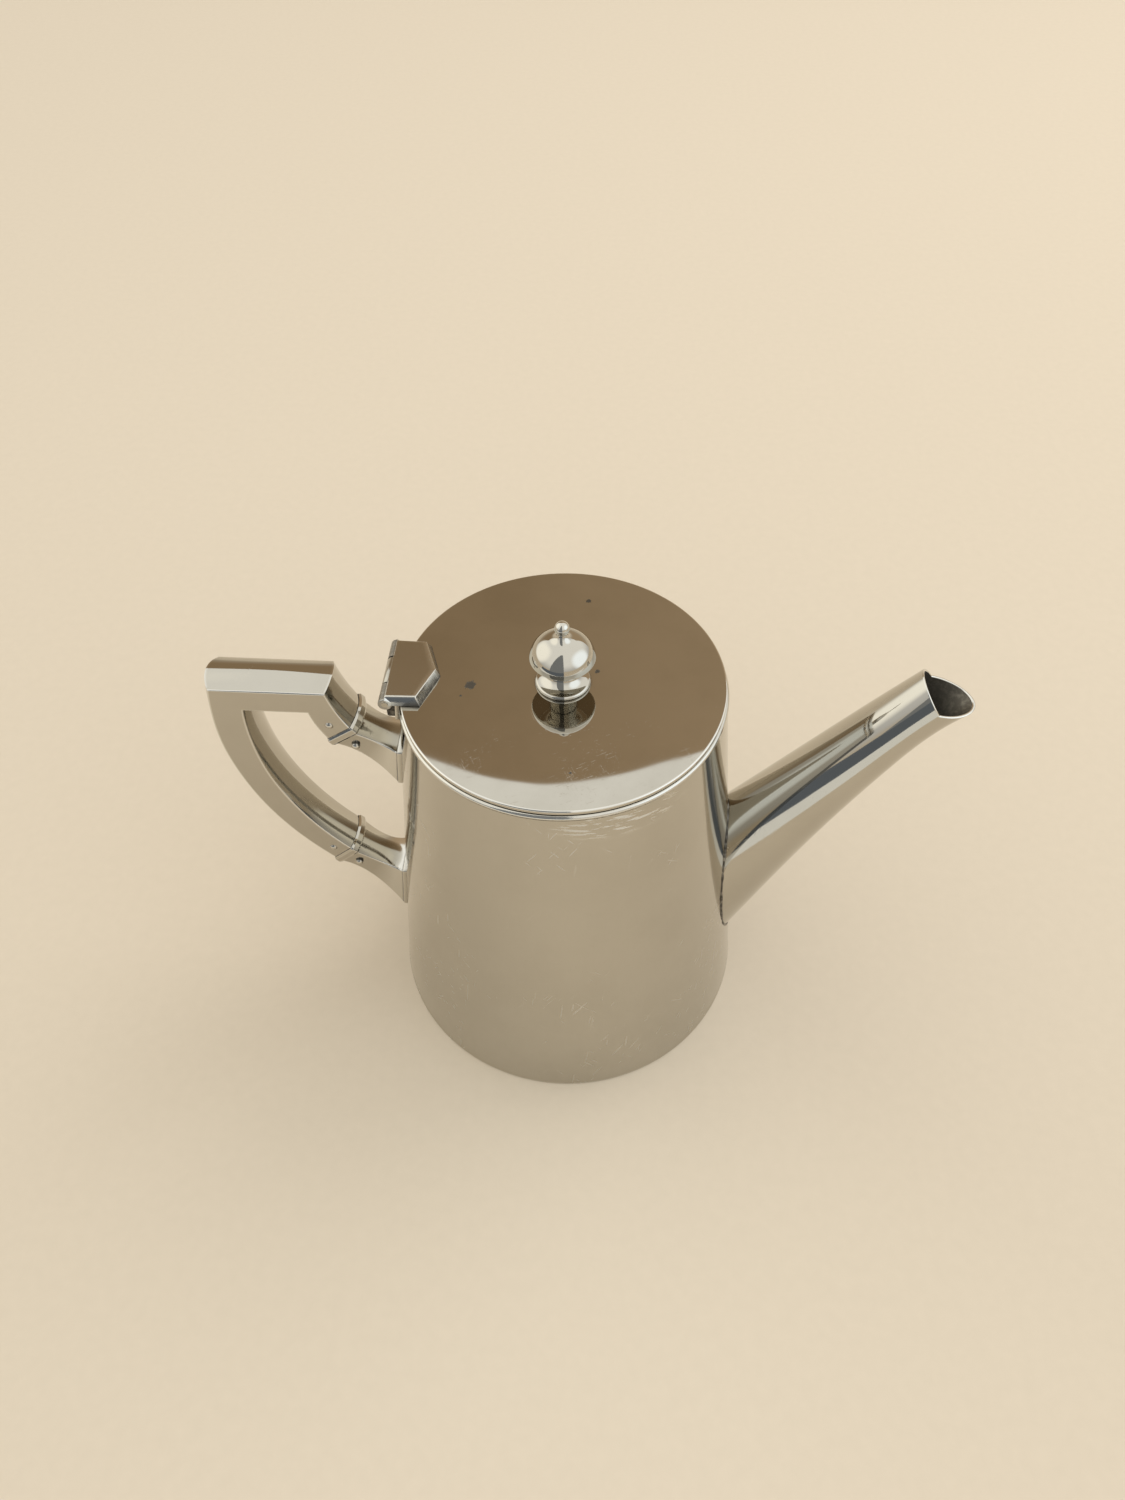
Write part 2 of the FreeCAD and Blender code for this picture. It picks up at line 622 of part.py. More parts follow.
PIECES = {
    "body_shell": body_shell(),
    "base_plate": base_plate(),
    "mouth_rim": mouth_rim(),
    "spout": spout(),
    "upper_socket_pad": socket_pad(UPPER_PAD_LOW, UPPER_PAD_HIGH),
    "lower_socket_pad": socket_pad(LOWER_PAD_LOW, LOWER_PAD_HIGH),
    "upper_socket": socket(UPPER, UPPER_SOCKET_WAIST, UPPER_PAD_LOW, UPPER_PAD_HIGH),
    "lower_socket": socket(LOWER, LOWER_SOCKET_WAIST, LOWER_PAD_LOW, LOWER_PAD_HIGH),
    "upper_collar": collar(UPPER, LEG_DEPTH),
    "lower_collar": collar(LOWER, BOW_END_DEPTH),
    "upper_tenon": tenon(UPPER),
    "lower_tenon": tenon(LOWER),
    "handle_grip": handle_grip(),
    "upper_grip_pin": cross_pin(UPPER, -1),
    "upper_socket_pin": cross_pin(UPPER, 1),
    "lower_grip_pin": cross_pin(LOWER, -1),
    "lower_socket_pin": cross_pin(LOWER, 1),
    "hinge_leaf": hinge_leaf(),
    "hinge_pin": hinge_pin(),
    "lid_plate": lid_plate(),
    "lid_flange": lid_flange(),
    "hinge_cover": hinge_cover(),
    "finial_knob": finial_knob(),
    "finial_washer": finial_washer(),
    "finial_nut": finial_nut(),
}

os.makedirs("parts", exist_ok=True)
for name, shape in PIECES.items():
    shape.exportStep("parts/" + name + ".step")
    print(name, len(shape.Solids), shape.isValid(), round(shape.Volume, 1))
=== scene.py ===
import math

import bmesh
import bpy
import numpy as np
from mathutils import Matrix


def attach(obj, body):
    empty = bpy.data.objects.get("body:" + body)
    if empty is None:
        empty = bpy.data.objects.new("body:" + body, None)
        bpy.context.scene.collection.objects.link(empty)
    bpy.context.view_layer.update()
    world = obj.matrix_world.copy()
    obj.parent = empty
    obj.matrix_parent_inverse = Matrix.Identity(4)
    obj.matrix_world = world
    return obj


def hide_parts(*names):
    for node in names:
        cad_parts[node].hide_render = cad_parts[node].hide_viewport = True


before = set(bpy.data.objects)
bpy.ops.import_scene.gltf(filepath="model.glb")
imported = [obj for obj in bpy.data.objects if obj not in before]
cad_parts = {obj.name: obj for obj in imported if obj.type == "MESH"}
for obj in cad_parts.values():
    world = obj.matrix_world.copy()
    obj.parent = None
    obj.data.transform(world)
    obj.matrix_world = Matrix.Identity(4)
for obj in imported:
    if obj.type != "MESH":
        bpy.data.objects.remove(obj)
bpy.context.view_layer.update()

# Silver coffee pot with a hinged lid. Sizes are in millimetres, as in the part's own source,
# and turn into metres where a mesh is made. X points to the spout, Z up, Y away from the camera.
MM = 0.001

# Pot wall, bottom and rim
BASE_RADIUS = 53.9
MOUTH_RADIUS = 42.3
WALL_HEIGHT = 120.6
WALL = 1.2
BOTTOM = 1.4
RIM_HEIGHT = 1.6
RIM_PROUD = 0.3
RIM_EASE = 0.2
RIM_STEPS = 15
FOOT_EASE = 0.45
FOOT_STEPS = 6
# How deep a piece that is soldered on reaches into the wall
SINK = 0.3

# Grid of the wall: columns round it, and heights of its lines, a millimetre apart behind the spout
AROUND = 312
LOW_LINES = (0.9, 3.0)
FINE_LOW = 12
FINE_HIGH = 82
HIGH_LINES = (90.0, 100.0, 110.0, 118.0, 119.8)

# Strainer holes behind the spout; the window is half the side, in grid cells, of the square that
# is left out round a hole
STRAINER_ROWS = (1, 2, 3, 2, 1)
STRAINER_RADIUS = 2.6
STRAINER_PITCH = 8.0
STRAINER_DROP = 29.4
STRAINER_WINDOW = 3

# Spout: oval sections along its straight top line, and the two planes that cut its mouth
SPOUT_TOP_HEIGHT = 74.4
SPOUT_ANGLE = 52.5
SPOUT_WALL = 1.1
SPOUT_ALONG = (-52.0, -24.0, 5.0, 46.0, 62.0, 76.0)
SPOUT_DEPTHS = (38.9, 32.4, 25.1, 17.0, 15.6, 18.4)
SPOUT_WIDTHS = (37.4, 31.0, 24.9, 17.9, 15.3, 13.8)
MOUTH_CORNER_ALONG = 68.0
MOUTH_CORNER_DEPTH = 7.4
MOUTH_CUT_ANGLE = 124.0
LIP_ANGLE = -12.0
LIP_ROUND = 0.22
LIP_THIN = 0.4
LIP_THIN_POWER = 12
LIP_STEPS = 9
# Where along the spout its root and its lip are looked for
ROOT_BETWEEN = (SPOUT_ALONG[0], 40.0)
LIP_BETWEEN = (30.0, 84.0)
HALVINGS = 40
SPOUT_COLUMNS = 168
SPOUT_ROWS = 34
SPOUT_END_ROWS = (0.0, 0.004, 0.010, 0.020)
SPOUT_GRIME_REACH = 0.7

# Solder round the spout's root: height, count and start of each wave of its radius
SEAM_RADIUS = 0.38
SEAM_WAVES = ((0.22, 7, 1), (0.16, 19, 0), (0.10, 41, 2))
SEAM_COLUMNS = 240
SEAM_SIDES = 10

# Handle
UPPER_COLLAR_REACH = 15.4
UPPER_COLLAR_HEIGHT = 105.6
UPPER_COLLAR_ANGLE = -54.0
LOWER_COLLAR_REACH = 18.0
LOWER_COLLAR_HEIGHT = 49.7
LOWER_COLLAR_ANGLE = -47.0
GRIP_WIDTH = 12.4
GRIP_CROWN = 1.6
GRIP_EDGE = 0.5
GRIP_TOP = 121.6
GRIP_BAR = 7.2
LEG_DEPTH = 8.0
LEG_LEAN = 20.0
LEG_HOLLOW = 0.5
BOW_RADIUS = 82.0
BOW_STEPS = 4
BOW_TOP_DEPTH = 8.6
BOW_END_DEPTH = 7.6
COLLAR_LENGTH = 2.8
COLLAR_FLAT = 1.5
COLLAR_PROUD = 0.5
COLLAR_EDGE = 0.15
COLLAR_SEAT = 0.9
COLLAR_ROUND = 0.25
COLLAR_FOOT_ROUND = 0.1
PIN_RADIUS = 1.15
PIN_STEP = 5.0
PIN_PROUD = 0.55
PIN_NECK = 0.3
PIN_CAP_STEPS = 8
PIN_AROUND = 32

# Points of a bar section: on each eased edge, and as shares of a flat side and of a crowned face
EDGE_STEPS = 6
SIDE_SHARES = np.array([-0.96, -0.5, 0.0, 0.5, 0.96])
FACE_SHARES = np.concatenate([[0.015], np.linspace(0.08, 0.92, 15), [0.985]])
# Rows along the grip and the sockets, as shares of the way, closer together at mitres and ends
MITRE_ROWS = np.array([0.0, 0.02, 0.05])
LEG_ROWS = np.concatenate([np.linspace(0, 0.92, 14), 1 - MITRE_ROWS[::-1]])
BAR_ROWS = np.concatenate([MITRE_ROWS, np.linspace(0.1, 0.9, 8), 1 - MITRE_ROWS[::-1]])
BOW_ROWS = np.concatenate([MITRE_ROWS / 4, np.linspace(0.03, 1, 60)])
SOCKET_ROWS = np.concatenate([np.linspace(0, 0.94, 30), [0.965, 0.985, 1.0]])

# Sockets and pads
SOCKET_DEPTH = 7.2
UPPER_SOCKET_WAIST = 7.4
LOWER_SOCKET_WAIST = 8.8
SOCKET_LIFT = 0.4
WAIST_SHARE = 0.58
WAIST_WIDTH = 10.8
WAIST_CROWN = 0.9
PAD_WIDTH = 13.8
PAD_THICKNESS = 0.8
PAD_CROWN = 0.3
PAD_BORDER = 0.2
PAD_LEDGE = 0.3
PAD_EASE = 0.25
PAD_STEPS = 6
PAD_BACK_SHARE = 0.65
UPPER_PAD = (86.8, 100.7)
LOWER_PAD = (24.2, 43.4)

# Lid and hinge
RIM_TOP = WALL_HEIGHT + RIM_HEIGHT
LID_GAP = 0.3
LID_THICKNESS = 1.2
LID_UNDER = RIM_TOP + LID_GAP
LID_TOP = LID_UNDER + LID_THICKNESS
LID_RADIUS = 42.0
LID_EDGE = 0.35
LOW_EDGE = 0.2
LID_ROWS = 24
LID_EDGE_BAND = 2.0
LID_FOOT_ROWS = (-0.4, 0.0, 0.2, 0.5)
STAIN_DROP = 1.0
TOP_SLACK = 0.01
FLANGE_HEIGHT = 5.0
FLANGE_OUTER = 40.6
FLANGE_WALL = 1.0
HINGE_X = -44.4
HINGE_Z = 124.0
BARREL_RADIUS = 1.8
BARREL_LENGTH = 22.0
BARREL_STEPS = 30
MIDDLE_KNUCKLE = 9.0
KNUCKLE_GAP = 0.3
KNUCKLE_STEPS = 32
COVER_RISE = 2.6
COVER_SHOULDER = 8.9
COVER_NOSE = 3.8
COVER_SHOULDER_WIDTH = 21.8
COVER_BACK_WIDTH = 22.4
COVER_SLOPE = 1.0
COVER_EASE = 0.25
COVER_STEPS = 6
COVER_FLAT_STEPS = 8
COVER_FLAT_END = 0.6
COVER_FIRST_LINE = 0.94
COVER_LINES = 8
HOLLOW_LINES = 6
COVER_BACK_ROUND = 0.3
COVER_HOLLOW_ROUND = 0.1
LEAF_THICKNESS = 1.3
LEAF_WIDTH = 12.0
LEAF_HEIGHT = 8.0
LEAF_CORNER = 0.8
LEAF_TOP_CORNER = 0.1
LEAF_EASE = 0.25
LEAF_FIRST_EASE = 0.06
LEAF_FACE_SHARES = (0.0, 0.25, 0.5, 0.75, 0.92, 0.955)
LEAF_EDGE_SHARE = 0.985
WEB_THICKNESS = 2.6
WEB_CORNER = 0.4
WEB_EASE = 0.2
WEB_FIRST_EASE = 0.06
# Middle that the web's ends are drawn in towards, from the hinge's axis
WEB_HUB = (0.3, -1.2)

# Finial, heights from the lid's top
FOOT_RADIUS = 7.1
FOOT_HEIGHT = 1.3
FLARE_HEIGHT = 3.9
FLARE_HOLLOW = 1.0
STEM_RADIUS = 3.4
STEM_HEIGHT = 3.7
CAP_RADIUS = 8.4
CAP_EDGE = 0.2
CAP_EDGE_HEIGHT = 0.2
CAP_EDGE_SWELL = 0.05
CAP_RISE = 5.8
CAP_SWELL = 1.3
CAP_SHOULDER = 3.2
NECK_RADIUS = 1.1
NECK_RISE = 2.1
NECK_HOLLOW = 0.4
BALL_RADIUS = 1.95
STUD_RADIUS = 2.0
STUD_END = -5.4
STUD_EASE = 0.3
STUD_HOLE = 2.1
WASHER_RADIUS = 5.0
WASHER_THICKNESS = 0.8
FINIAL_AROUND = 128
WASHER_AROUND = 64
BEAD_FULLNESS = 0.999
STEM_LAST_ROW = 0.4
UNDER_CAP_ROWS = (0.0, 0.3, 0.7, 1.2)
CAP_FIRST_ROW = 0.3

# Wear: rubbed, grimy and dull shares of the pieces, and how far dirt reaches from a corner.
# The grimy share also carries painted shade on the hinge web's ends, and darkens the cover's barrel
GRIME_REACH = 0.3
FOOT_WORN = 0.9
RIM_WORN = ((-90.0, 20.0, 90.0), (0.0, 0.7, 0.3))
RIM_BORE_WORN = 0.5
LIP_SIDE_WORN = 0.6
ROOT_GRIME = 0.8
SPOUT_INSIDE_GRIME = 0.6
SEAM_GRIME = 0.9
MITRE_WORN = 0.8
COLLAR_WORN = 0.8
PAD_WORN = 0.8
PAD_GRIME = 0.8
SOCKET_EDGE_WORN = 0.9
SOCKET_WORN = ((0.45, 0.80), (0.0, 1.0))
SOCKET_GRIME = ((0.97, 1.0), (0.0, 0.7))
PIN_WORN = 0.35
PIN_GRIME = (0.1, 0.6, 0.9)
LID_FOOT_GRIME = 0.4
LID_UNDER_DULL = 0.8
COVER_FRONT_WORN = 0.8
COVER_SIDE_WORN = 0.7
COVER_FOOT_GRIME = 0.9
# Darker barrel and hollow under the hinge cover
BARREL_DARKENING = 0.5
LEAF_EDGE_WORN = 0.9
LEAF_SIDE_WORN = 0.6
LEAF_SIDE_GRIME = 0.9
WEB_GRIME = 0.15
# Painted shade on the web's ends, which show through the slot under the cover
WEB_END_PAINTED_SHADE = 0.95


# Small geometry

def wall_radius(height):
    """Outer radius of the wall: it falls evenly from the base to the mouth."""
    return BASE_RADIUS + (MOUTH_RADIUS - BASE_RADIUS) * height / WALL_HEIGHT


def heading(angle):
    """Unit vector (x, z), turned up from X by an angle in degrees."""
    turn = math.radians(angle)
    return np.array([math.cos(turn), math.sin(turn)])


def unit(vectors):
    """Vectors divided by their lengths."""
    return vectors / np.linalg.norm(vectors, axis=-1, keepdims=True)


def arc(centre, radius, start, end, steps):
    """Points of a circle between two angles in degrees, evenly spaced."""
    turn = np.radians(np.linspace(start, end, steps))
    return np.stack([centre[0] + radius * np.cos(turn), centre[1] + radius * np.sin(turn)], -1)


def bowed(start, end, rise, steps):
    """Arc over a chord: its middle stands off the chord by the rise, to the left of the way."""
    start, end = np.array(start, float), np.array(end, float)
    chord = end - start
    length = np.linalg.norm(chord)
    radius = (length ** 2 / 4 + rise ** 2) / (2 * abs(rise))
    half = math.asin(min(1.0, length / (2 * radius)))
    turn = np.linspace(-half, half, steps)[:, None]
    left = np.array([-chord[1], chord[0]]) / length * math.copysign(1.0, rise)
    lift = radius * (np.cos(turn) - math.cos(half))
    return (start + end) / 2 + chord / length * radius * np.sin(turn) + left * lift


def rounded(corners, steps=6, support=0.2):
    """Closed outline with its corners eased.

    Each corner (a, b, radius) becomes an arc that touches both sides, with one more point just
    off each end of the arc to keep the flats flat. Also gives 1 on the arcs and 0 elsewhere.
    """
    points, worn = [], []
    for k, (a, b, radius) in enumerate(corners):
        place = np.array([a, b], float)
        if radius == 0:
            points.append(place[None])
            worn.append(np.zeros(1))
            continue
        back = unit(np.array(corners[k - 1][:2]) - place)
        on = unit(np.array(corners[(k + 1) % len(corners)][:2]) - place)
        half = 0.5 * math.acos(float(np.clip(back @ on, -1, 1)))
        reach = radius / math.tan(half)
        hub = place + unit(back + on) * radius / math.sin(half)
        sweep = math.pi - 2 * half
        share = np.linspace(0, 1, steps)[:, None]
        first, last = place + back * reach - hub, place + on * reach - hub
        bend = hub + (np.sin((1 - share) * sweep) * first + np.sin(share * sweep) * last) / math.sin(sweep)
        points += [(bend[0] + back * support)[None], bend, (bend[-1] + on * support)[None]]
        worn += [np.zeros(1), np.ones(steps), np.zeros(1)]
    return np.concatenate(points), np.concatenate(worn)


def spline(knots, values, at):
    """Smooth curve through values at knots: cubic pieces whose slope and bend match at each knot,
    the first two and the last two pieces being one cubic each."""
    knots, values, at = np.array(knots, float), np.array(values, float), np.asarray(at, float)
    step = np.diff(knots)
    count = len(knots)
    matrix, right = np.zeros((count, count)), np.zeros((count,) + values.shape[1:])
    matrix[0, :3] = step[1], -(step[0] + step[1]), step[0]
    matrix[-1, -3:] = step[-1], -(step[-2] + step[-1]), step[-2]
    slope = np.diff(values, axis=0) / step.reshape((-1,) + (1,) * (values.ndim - 1))
    for k in range(1, count - 1):
        matrix[k, k - 1:k + 2] = step[k - 1], 2 * (step[k - 1] + step[k]), step[k]
        right[k] = 6 * (slope[k] - slope[k - 1])
    bend = np.linalg.solve(matrix, right)
    k = np.clip(np.searchsorted(knots, at) - 1, 0, count - 2)
    shape = at.shape + (1,) * (values.ndim - 1)
    run = step[k].reshape(shape)
    low, high = (knots[k + 1] - at).reshape(shape) / run, (at - knots[k]).reshape(shape) / run
    cube = (low ** 3 - low) * bend[k] + (high ** 3 - high) * bend[k + 1]
    return low * values[k] + high * values[k + 1] + cube * run ** 2 / 6


def through_three(knots, rows, share):
    """Curve of the second degree through three rows at three knots."""
    a, b, c = knots
    t = share[:, None]
    return (rows[0] * (t - b) * (t - c) / ((a - b) * (a - c))
            + rows[1] * (t - a) * (t - c) / ((b - a) * (b - c))
            + rows[2] * (t - a) * (t - b) / ((c - a) * (c - b)))


# Meshes

# Welding distance and shortest edge in metres, and the angle from which an edge stays sharp
WELD = 2e-6
SHORTEST_EDGE = 1e-7
CREASE = 38.0


def sheet(points, wrap=(True, True), worn=0.0, grime_and_shade=0.0, dull=0.0, keep=None):
    """Grid of points for one surface, with rubbed, grimy and dull shares per point; grimy includes painted
    shade.
    """
    size = points.shape[:2]
    return {"points": points, "wrap": wrap, "keep": keep, "worn": np.broadcast_to(worn, size),
            "grime_and_shade": np.broadcast_to(grime_and_shade, size), "dull": np.broadcast_to(dull, size)}


def quads_of(rows, columns, wrap):
    """Corner numbers of a grid's quads; a wrapped side joins its last line to its first."""
    row = np.arange(rows if wrap[0] else rows - 1)[:, None]
    column = np.arange(columns if wrap[1] else columns - 1)[None, :]
    row, column = np.broadcast_arrays(row, column)
    down, on = (row + 1) % rows, (column + 1) % columns
    return np.stack([row * columns + column, down * columns + column, down * columns + on,
                     row * columns + on], -1)


def volume(points, quads):
    """Signed volume inside quads: a sixth of the triple products of their two triangles."""
    a, b, c, d = (points[quads[:, k]] for k in range(4))
    return np.einsum("ij,ij->", a, np.cross(b, c)) / 6 + np.einsum("ij,ij->", a, np.cross(c, d)) / 6


def piece(name, body, finish, sheets, stands_for=(), joined=False):
    """Mesh object from grids: welded, facing outwards, smooth up to the crease angle.

    A grid that is closed by itself is turned round if its volume is negative. Grids that only
    close together are joined, and the welded mesh is then turned outwards as a whole.
    """
    points, quads, first = [], [], 0
    shares = {"worn": [], "grime_and_shade": [], "dull": []}
    for one in sheets:
        rows, columns = one["points"].shape[:2]
        flat = one["points"].reshape(-1, 3)
        faces = quads_of(rows, columns, one["wrap"])
        faces = faces[one["keep"]] if one["keep"] is not None else faces.reshape(-1, 4)
        if not joined and volume(flat, faces) < 0:
            faces = faces[:, ::-1]
        points.append(flat)
        quads.append(faces + first)
        for label, values in shares.items():
            values.append(one[label].ravel())
        first += len(flat)
    mesh = bpy.data.meshes.new(name)
    mesh.from_pydata(np.concatenate(points) * MM, [], np.concatenate(quads))
    for label, values in shares.items():
        layer = mesh.attributes.new(label, "FLOAT", "POINT")
        layer.data.foreach_set("value", np.concatenate(values).astype(np.float32))
    work = bmesh.new()
    work.from_mesh(mesh)
    bmesh.ops.remove_doubles(work, verts=work.verts, dist=WELD)
    bmesh.ops.dissolve_degenerate(work, edges=work.edges, dist=SHORTEST_EDGE)
    if joined:
        bmesh.ops.recalc_face_normals(work, faces=work.faces)
    work.to_mesh(mesh)
    work.free()
    mesh.shade_smooth()
    mesh.set_sharp_from_angle(angle=math.radians(CREASE))
    mesh.materials.append(finish)
    made = bpy.data.objects.new(name, mesh)
    bpy.context.scene.collection.objects.link(made)
    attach(made, body)
    if stands_for:
        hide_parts(*stands_for)


def lathe(profile, around):
    """Profile (radius, height) turned about Z."""
    turn = np.linspace(0, 2 * math.pi, around, endpoint=False)[:, None]
    radius, height = profile[None, :, 0], profile[None, :, 1]
    return np.stack([radius * np.cos(turn), radius * np.sin(turn), height + 0 * turn], -1)


# Shader nodes

def node(tree, kind, inputs=None, **settings):
    """Shader node with its settings, and with each input set or linked."""
    made = tree.nodes.new(kind)
    for label, value in settings.items():
        setattr(made, label, value)
    for label, value in (inputs or {}).items():
        if isinstance(value, bpy.types.NodeSocket):
            tree.links.new(value, made.inputs[label])
        else:
            made.inputs[label].default_value = value
    return made


def maths(tree, operation, a, b=0.0, clamp=False):
    """Result of one step of arithmetic on values."""
    return node(tree, "ShaderNodeMath", {0: a, 1: b}, operation=operation, use_clamp=clamp).outputs[0]


def vector_maths(tree, operation, a, b=(0.0, 0.0, 0.0), result="Vector"):
    """Result of one step of arithmetic on vectors: a vector, or a value such as a length."""
    return node(tree, "ShaderNodeVectorMath", {0: a, 1: b}, operation=operation).outputs[result]


def ramp(tree, value, low, high, to_low=0.0, to_high=1.0):
    """Eased step of a value from one level to another."""
    levels = {"Value": value, "From Min": low, "From Max": high, "To Min": to_low, "To Max": to_high}
    return node(tree, "ShaderNodeMapRange", levels, interpolation_type="SMOOTHSTEP").outputs["Result"]


def clouds(tree, place, scale, detail=3.0, roughness=0.55):
    """Soft noise about a half."""
    look = {"Vector": place, "Scale": scale, "Detail": detail, "Roughness": roughness}
    return node(tree, "ShaderNodeTexNoise", look).outputs["Fac"]


def turned_place(tree, place, turn, size):
    """Coordinates turned, then divided by a size along each of the turned axes."""
    change = {"Vector": place, "Rotation": turn, "Scale": size}
    return node(tree, "ShaderNodeMapping", change, vector_type="TEXTURE").outputs["Vector"]


def blended(tree, share, first, second):
    """Colour between two colours; a Mix node's colours are its inputs 6 and 7 and its output 2."""
    return node(tree, "ShaderNodeMix", {0: share, 6: first, 7: second}, data_type="RGBA").outputs[2]


def new_finish(name):
    """Material with an empty node tree."""
    made = bpy.data.materials.new(name)
    made.use_nodes = True
    made.node_tree.nodes.clear()
    return made


def surface(tree, relief, look):
    """Principled shader with the relief of a bump node, linked to the finish's output."""
    shader = node(tree, "ShaderNodeBsdfPrincipled", {**look, "Normal": relief.outputs["Normal"]})
    node(tree, "ShaderNodeOutputMaterial", {"Surface": shader.outputs["BSDF"]})


# Finishes

SILVER = (0.53, 0.505, 0.45, 1.0)
CLOUDED = (0.45, 0.425, 0.37, 1.0)
RUBBED = (0.78, 0.765, 0.72, 1.0)
# Near-black of dirt, also used as painted shade on the hinge web's ends
DIRT_AND_SHADE = (0.030, 0.026, 0.022, 1.0)
STAINED = (0.38, 0.345, 0.28, 1.0)
FIBRE_DARK = (0.10, 0.055, 0.03, 1.0)
FIBRE_PALE = (0.19, 0.11, 0.06, 1.0)
FLOOR_DARK = (0.60, 0.515, 0.405, 1.0)
FLOOR_PALE = (0.64, 0.55, 0.435, 1.0)

# Fibre's flecks, with the size of one in metres, and the scale of the floor's tooth
FLECK_TURN = (0.0, 0.9, 0.0)
FLECK_SIZE = (0.0004, 0.0017, 0.0033)
FLECK_LEVELS = (0.35, 0.65)
TOOTH_SCALE = 260.0

# How far each mark goes to its colour, and what it adds to the roughness
RUBBED_SHARE = 0.7
PIT_SHARE = 0.4
STAIN_SHARE = 0.85
ROUGH_FOG = 0.03
ROUGH_LINES = 0.20
ROUGH_DIRT_AND_SHADE = 0.40
ROUGH_RUBBED = 0.05
ROUGH_STAIN = 0.34
ROUGH_SCUFF = 0.40

# Noises of the marks: scale per metre, and the levels between which each mark comes up
FOG_SCALE = 34.0
FOG_LEVELS = (0.38, 0.72)
PATCH_SCALE = 40.0
PATCH_LEVELS = (0.44, 0.62)
PIT_SCALE = 1300.0
PIT_LEVELS = (0.75, 0.80)
DIRT_AND_SHADE_SCALE = 700.0
DIRT_AND_SHADE_LEVELS = (0.25, 0.60)
DIRT_AND_SHADE_LEAST = 0.5

# Relief: the slow swell of the sheet and the marks on it, heights in metres; that of dirt and painted
# shade as a share of a mark's
SWELL_SCALE = 24.0
SWELL_HEIGHT = 0.004
MARK_HEIGHT = 0.00004
MARK_STRENGTH = 0.4
DIRT_AND_SHADE_HEIGHT = 0.5

# Hair scratches: the turn, and the size in metres, of one scratch on level and on upright sheet
LEVEL_SCRATCHES = (((0.0, 0.0, 0.45), (0.00022, 0.0050, 0.0008)),
                   ((0.0, 0.0, 2.10), (0.00020, 0.0036, 0.0006)),
                   ((1.2, 0.4, 0.30), (0.00024, 0.0042, 0.0005)))
UPRIGHT_SCRATCHES = (((0.0, 0.10, 0.0), (0.00070, 0.0030, 0.0130)),
                     ((0.0, 0.60, 0.0), (0.00060, 0.0030, 0.0100)),
                     ((0.3, -0.75, 0.0), (0.00055, 0.0030, 0.0085)))
CREST_LEVELS = (0.70, 0.76)

# Scuffs on the wall under the rim: middle and reach, and the turn and size in metres of one stroke
SCUFF_PLACE = (17.0, -38.5, 117.5)
SCUFF_REACH = (23.0, 23.0, 6.0)
SCUFF_TURN = (0.0, 0.12, 0.42)
SCUFF_SIZE = (0.0050, 0.0050, 0.0008)
SCUFF_FADE = (0.3, 1.0)
SCUFF_LEVELS = (0.53, 0.60)
SCUFF_LINES = 0.5

# Tarnish on the lid: place and radius of each spot, and its ragged edge as shares of the radius
LID_SPOTS = ((-23.7, -2.6, 1.5), (5.0, 30.6, 0.75), (8.6, 4.0, 0.7), (3.7, -30.1, 0.4),
             (-25.7, -6.4, 0.35))
SPOT_SCALE = 1100.0
SPOT_RAGGED = 1.6
SPOT_FADE = 0.25
SPOT_SHARE = 0.8


def hair_lines(tree, place, hairs):
    """Hair scratches: the crests of noises stretched along their own directions, in patches."""
    lines = 0.0
    for turn, size in hairs:
        noise = clouds(tree, turned_place(tree, place, turn, size), 1.0, 1.0, 0.5)
        lines = maths(tree, "MAXIMUM", ramp(tree, noise, *CREST_LEVELS), lines)
    patches = ramp(tree, clouds(tree, place, PATCH_SCALE, 2.0), *PATCH_LEVELS)
    return maths(tree, "MULTIPLY", lines, patches)


def scuff_strokes(tree, place, lines):
    """Scuffs: a noise stretched along the rim that fades out from its middle, and fainter hair lines."""
    middle, reach = (tuple(v * MM for v in sizes) for sizes in (SCUFF_PLACE, SCUFF_REACH))
    apart = vector_maths(tree, "DIVIDE", vector_maths(tree, "SUBTRACT", place, middle), reach)
    near = ramp(tree, vector_maths(tree, "LENGTH", apart, result="Value"), *SCUFF_FADE, 1.0, 0.0)
    noise = clouds(tree, turned_place(tree, place, SCUFF_TURN, SCUFF_SIZE), 1.0, 3.0, 0.6)
    strokes = maths(tree, "MULTIPLY", ramp(tree, noise, *SCUFF_LEVELS), near)
    return maths(tree, "MAXIMUM", strokes, maths(tree, "MULTIPLY", lines, SCUFF_LINES))


def tarnish(tree, place, spots, dull):
    """Dark spots on the lid's top: distances from their middles, made ragged by noise."""
    ragged = clouds(tree, place, SPOT_SCALE, 3.0)
    dark = 0.0
    for x, y, radius in spots:
        apart = vector_maths(tree, "DISTANCE", place, (x * MM, y * MM, LID_TOP * MM), "Value")
        apart = maths(tree, "SUBTRACT", apart, maths(tree, "MULTIPLY", ragged, SPOT_RAGGED * radius * MM))
        spot = ramp(tree, apart, 0.0, SPOT_FADE * radius * MM, SPOT_SHARE, 0.0)
        dark = maths(tree, "MAXIMUM", maths(tree, "SUBTRACT", spot, dull, clamp=True), dark)
    return dark


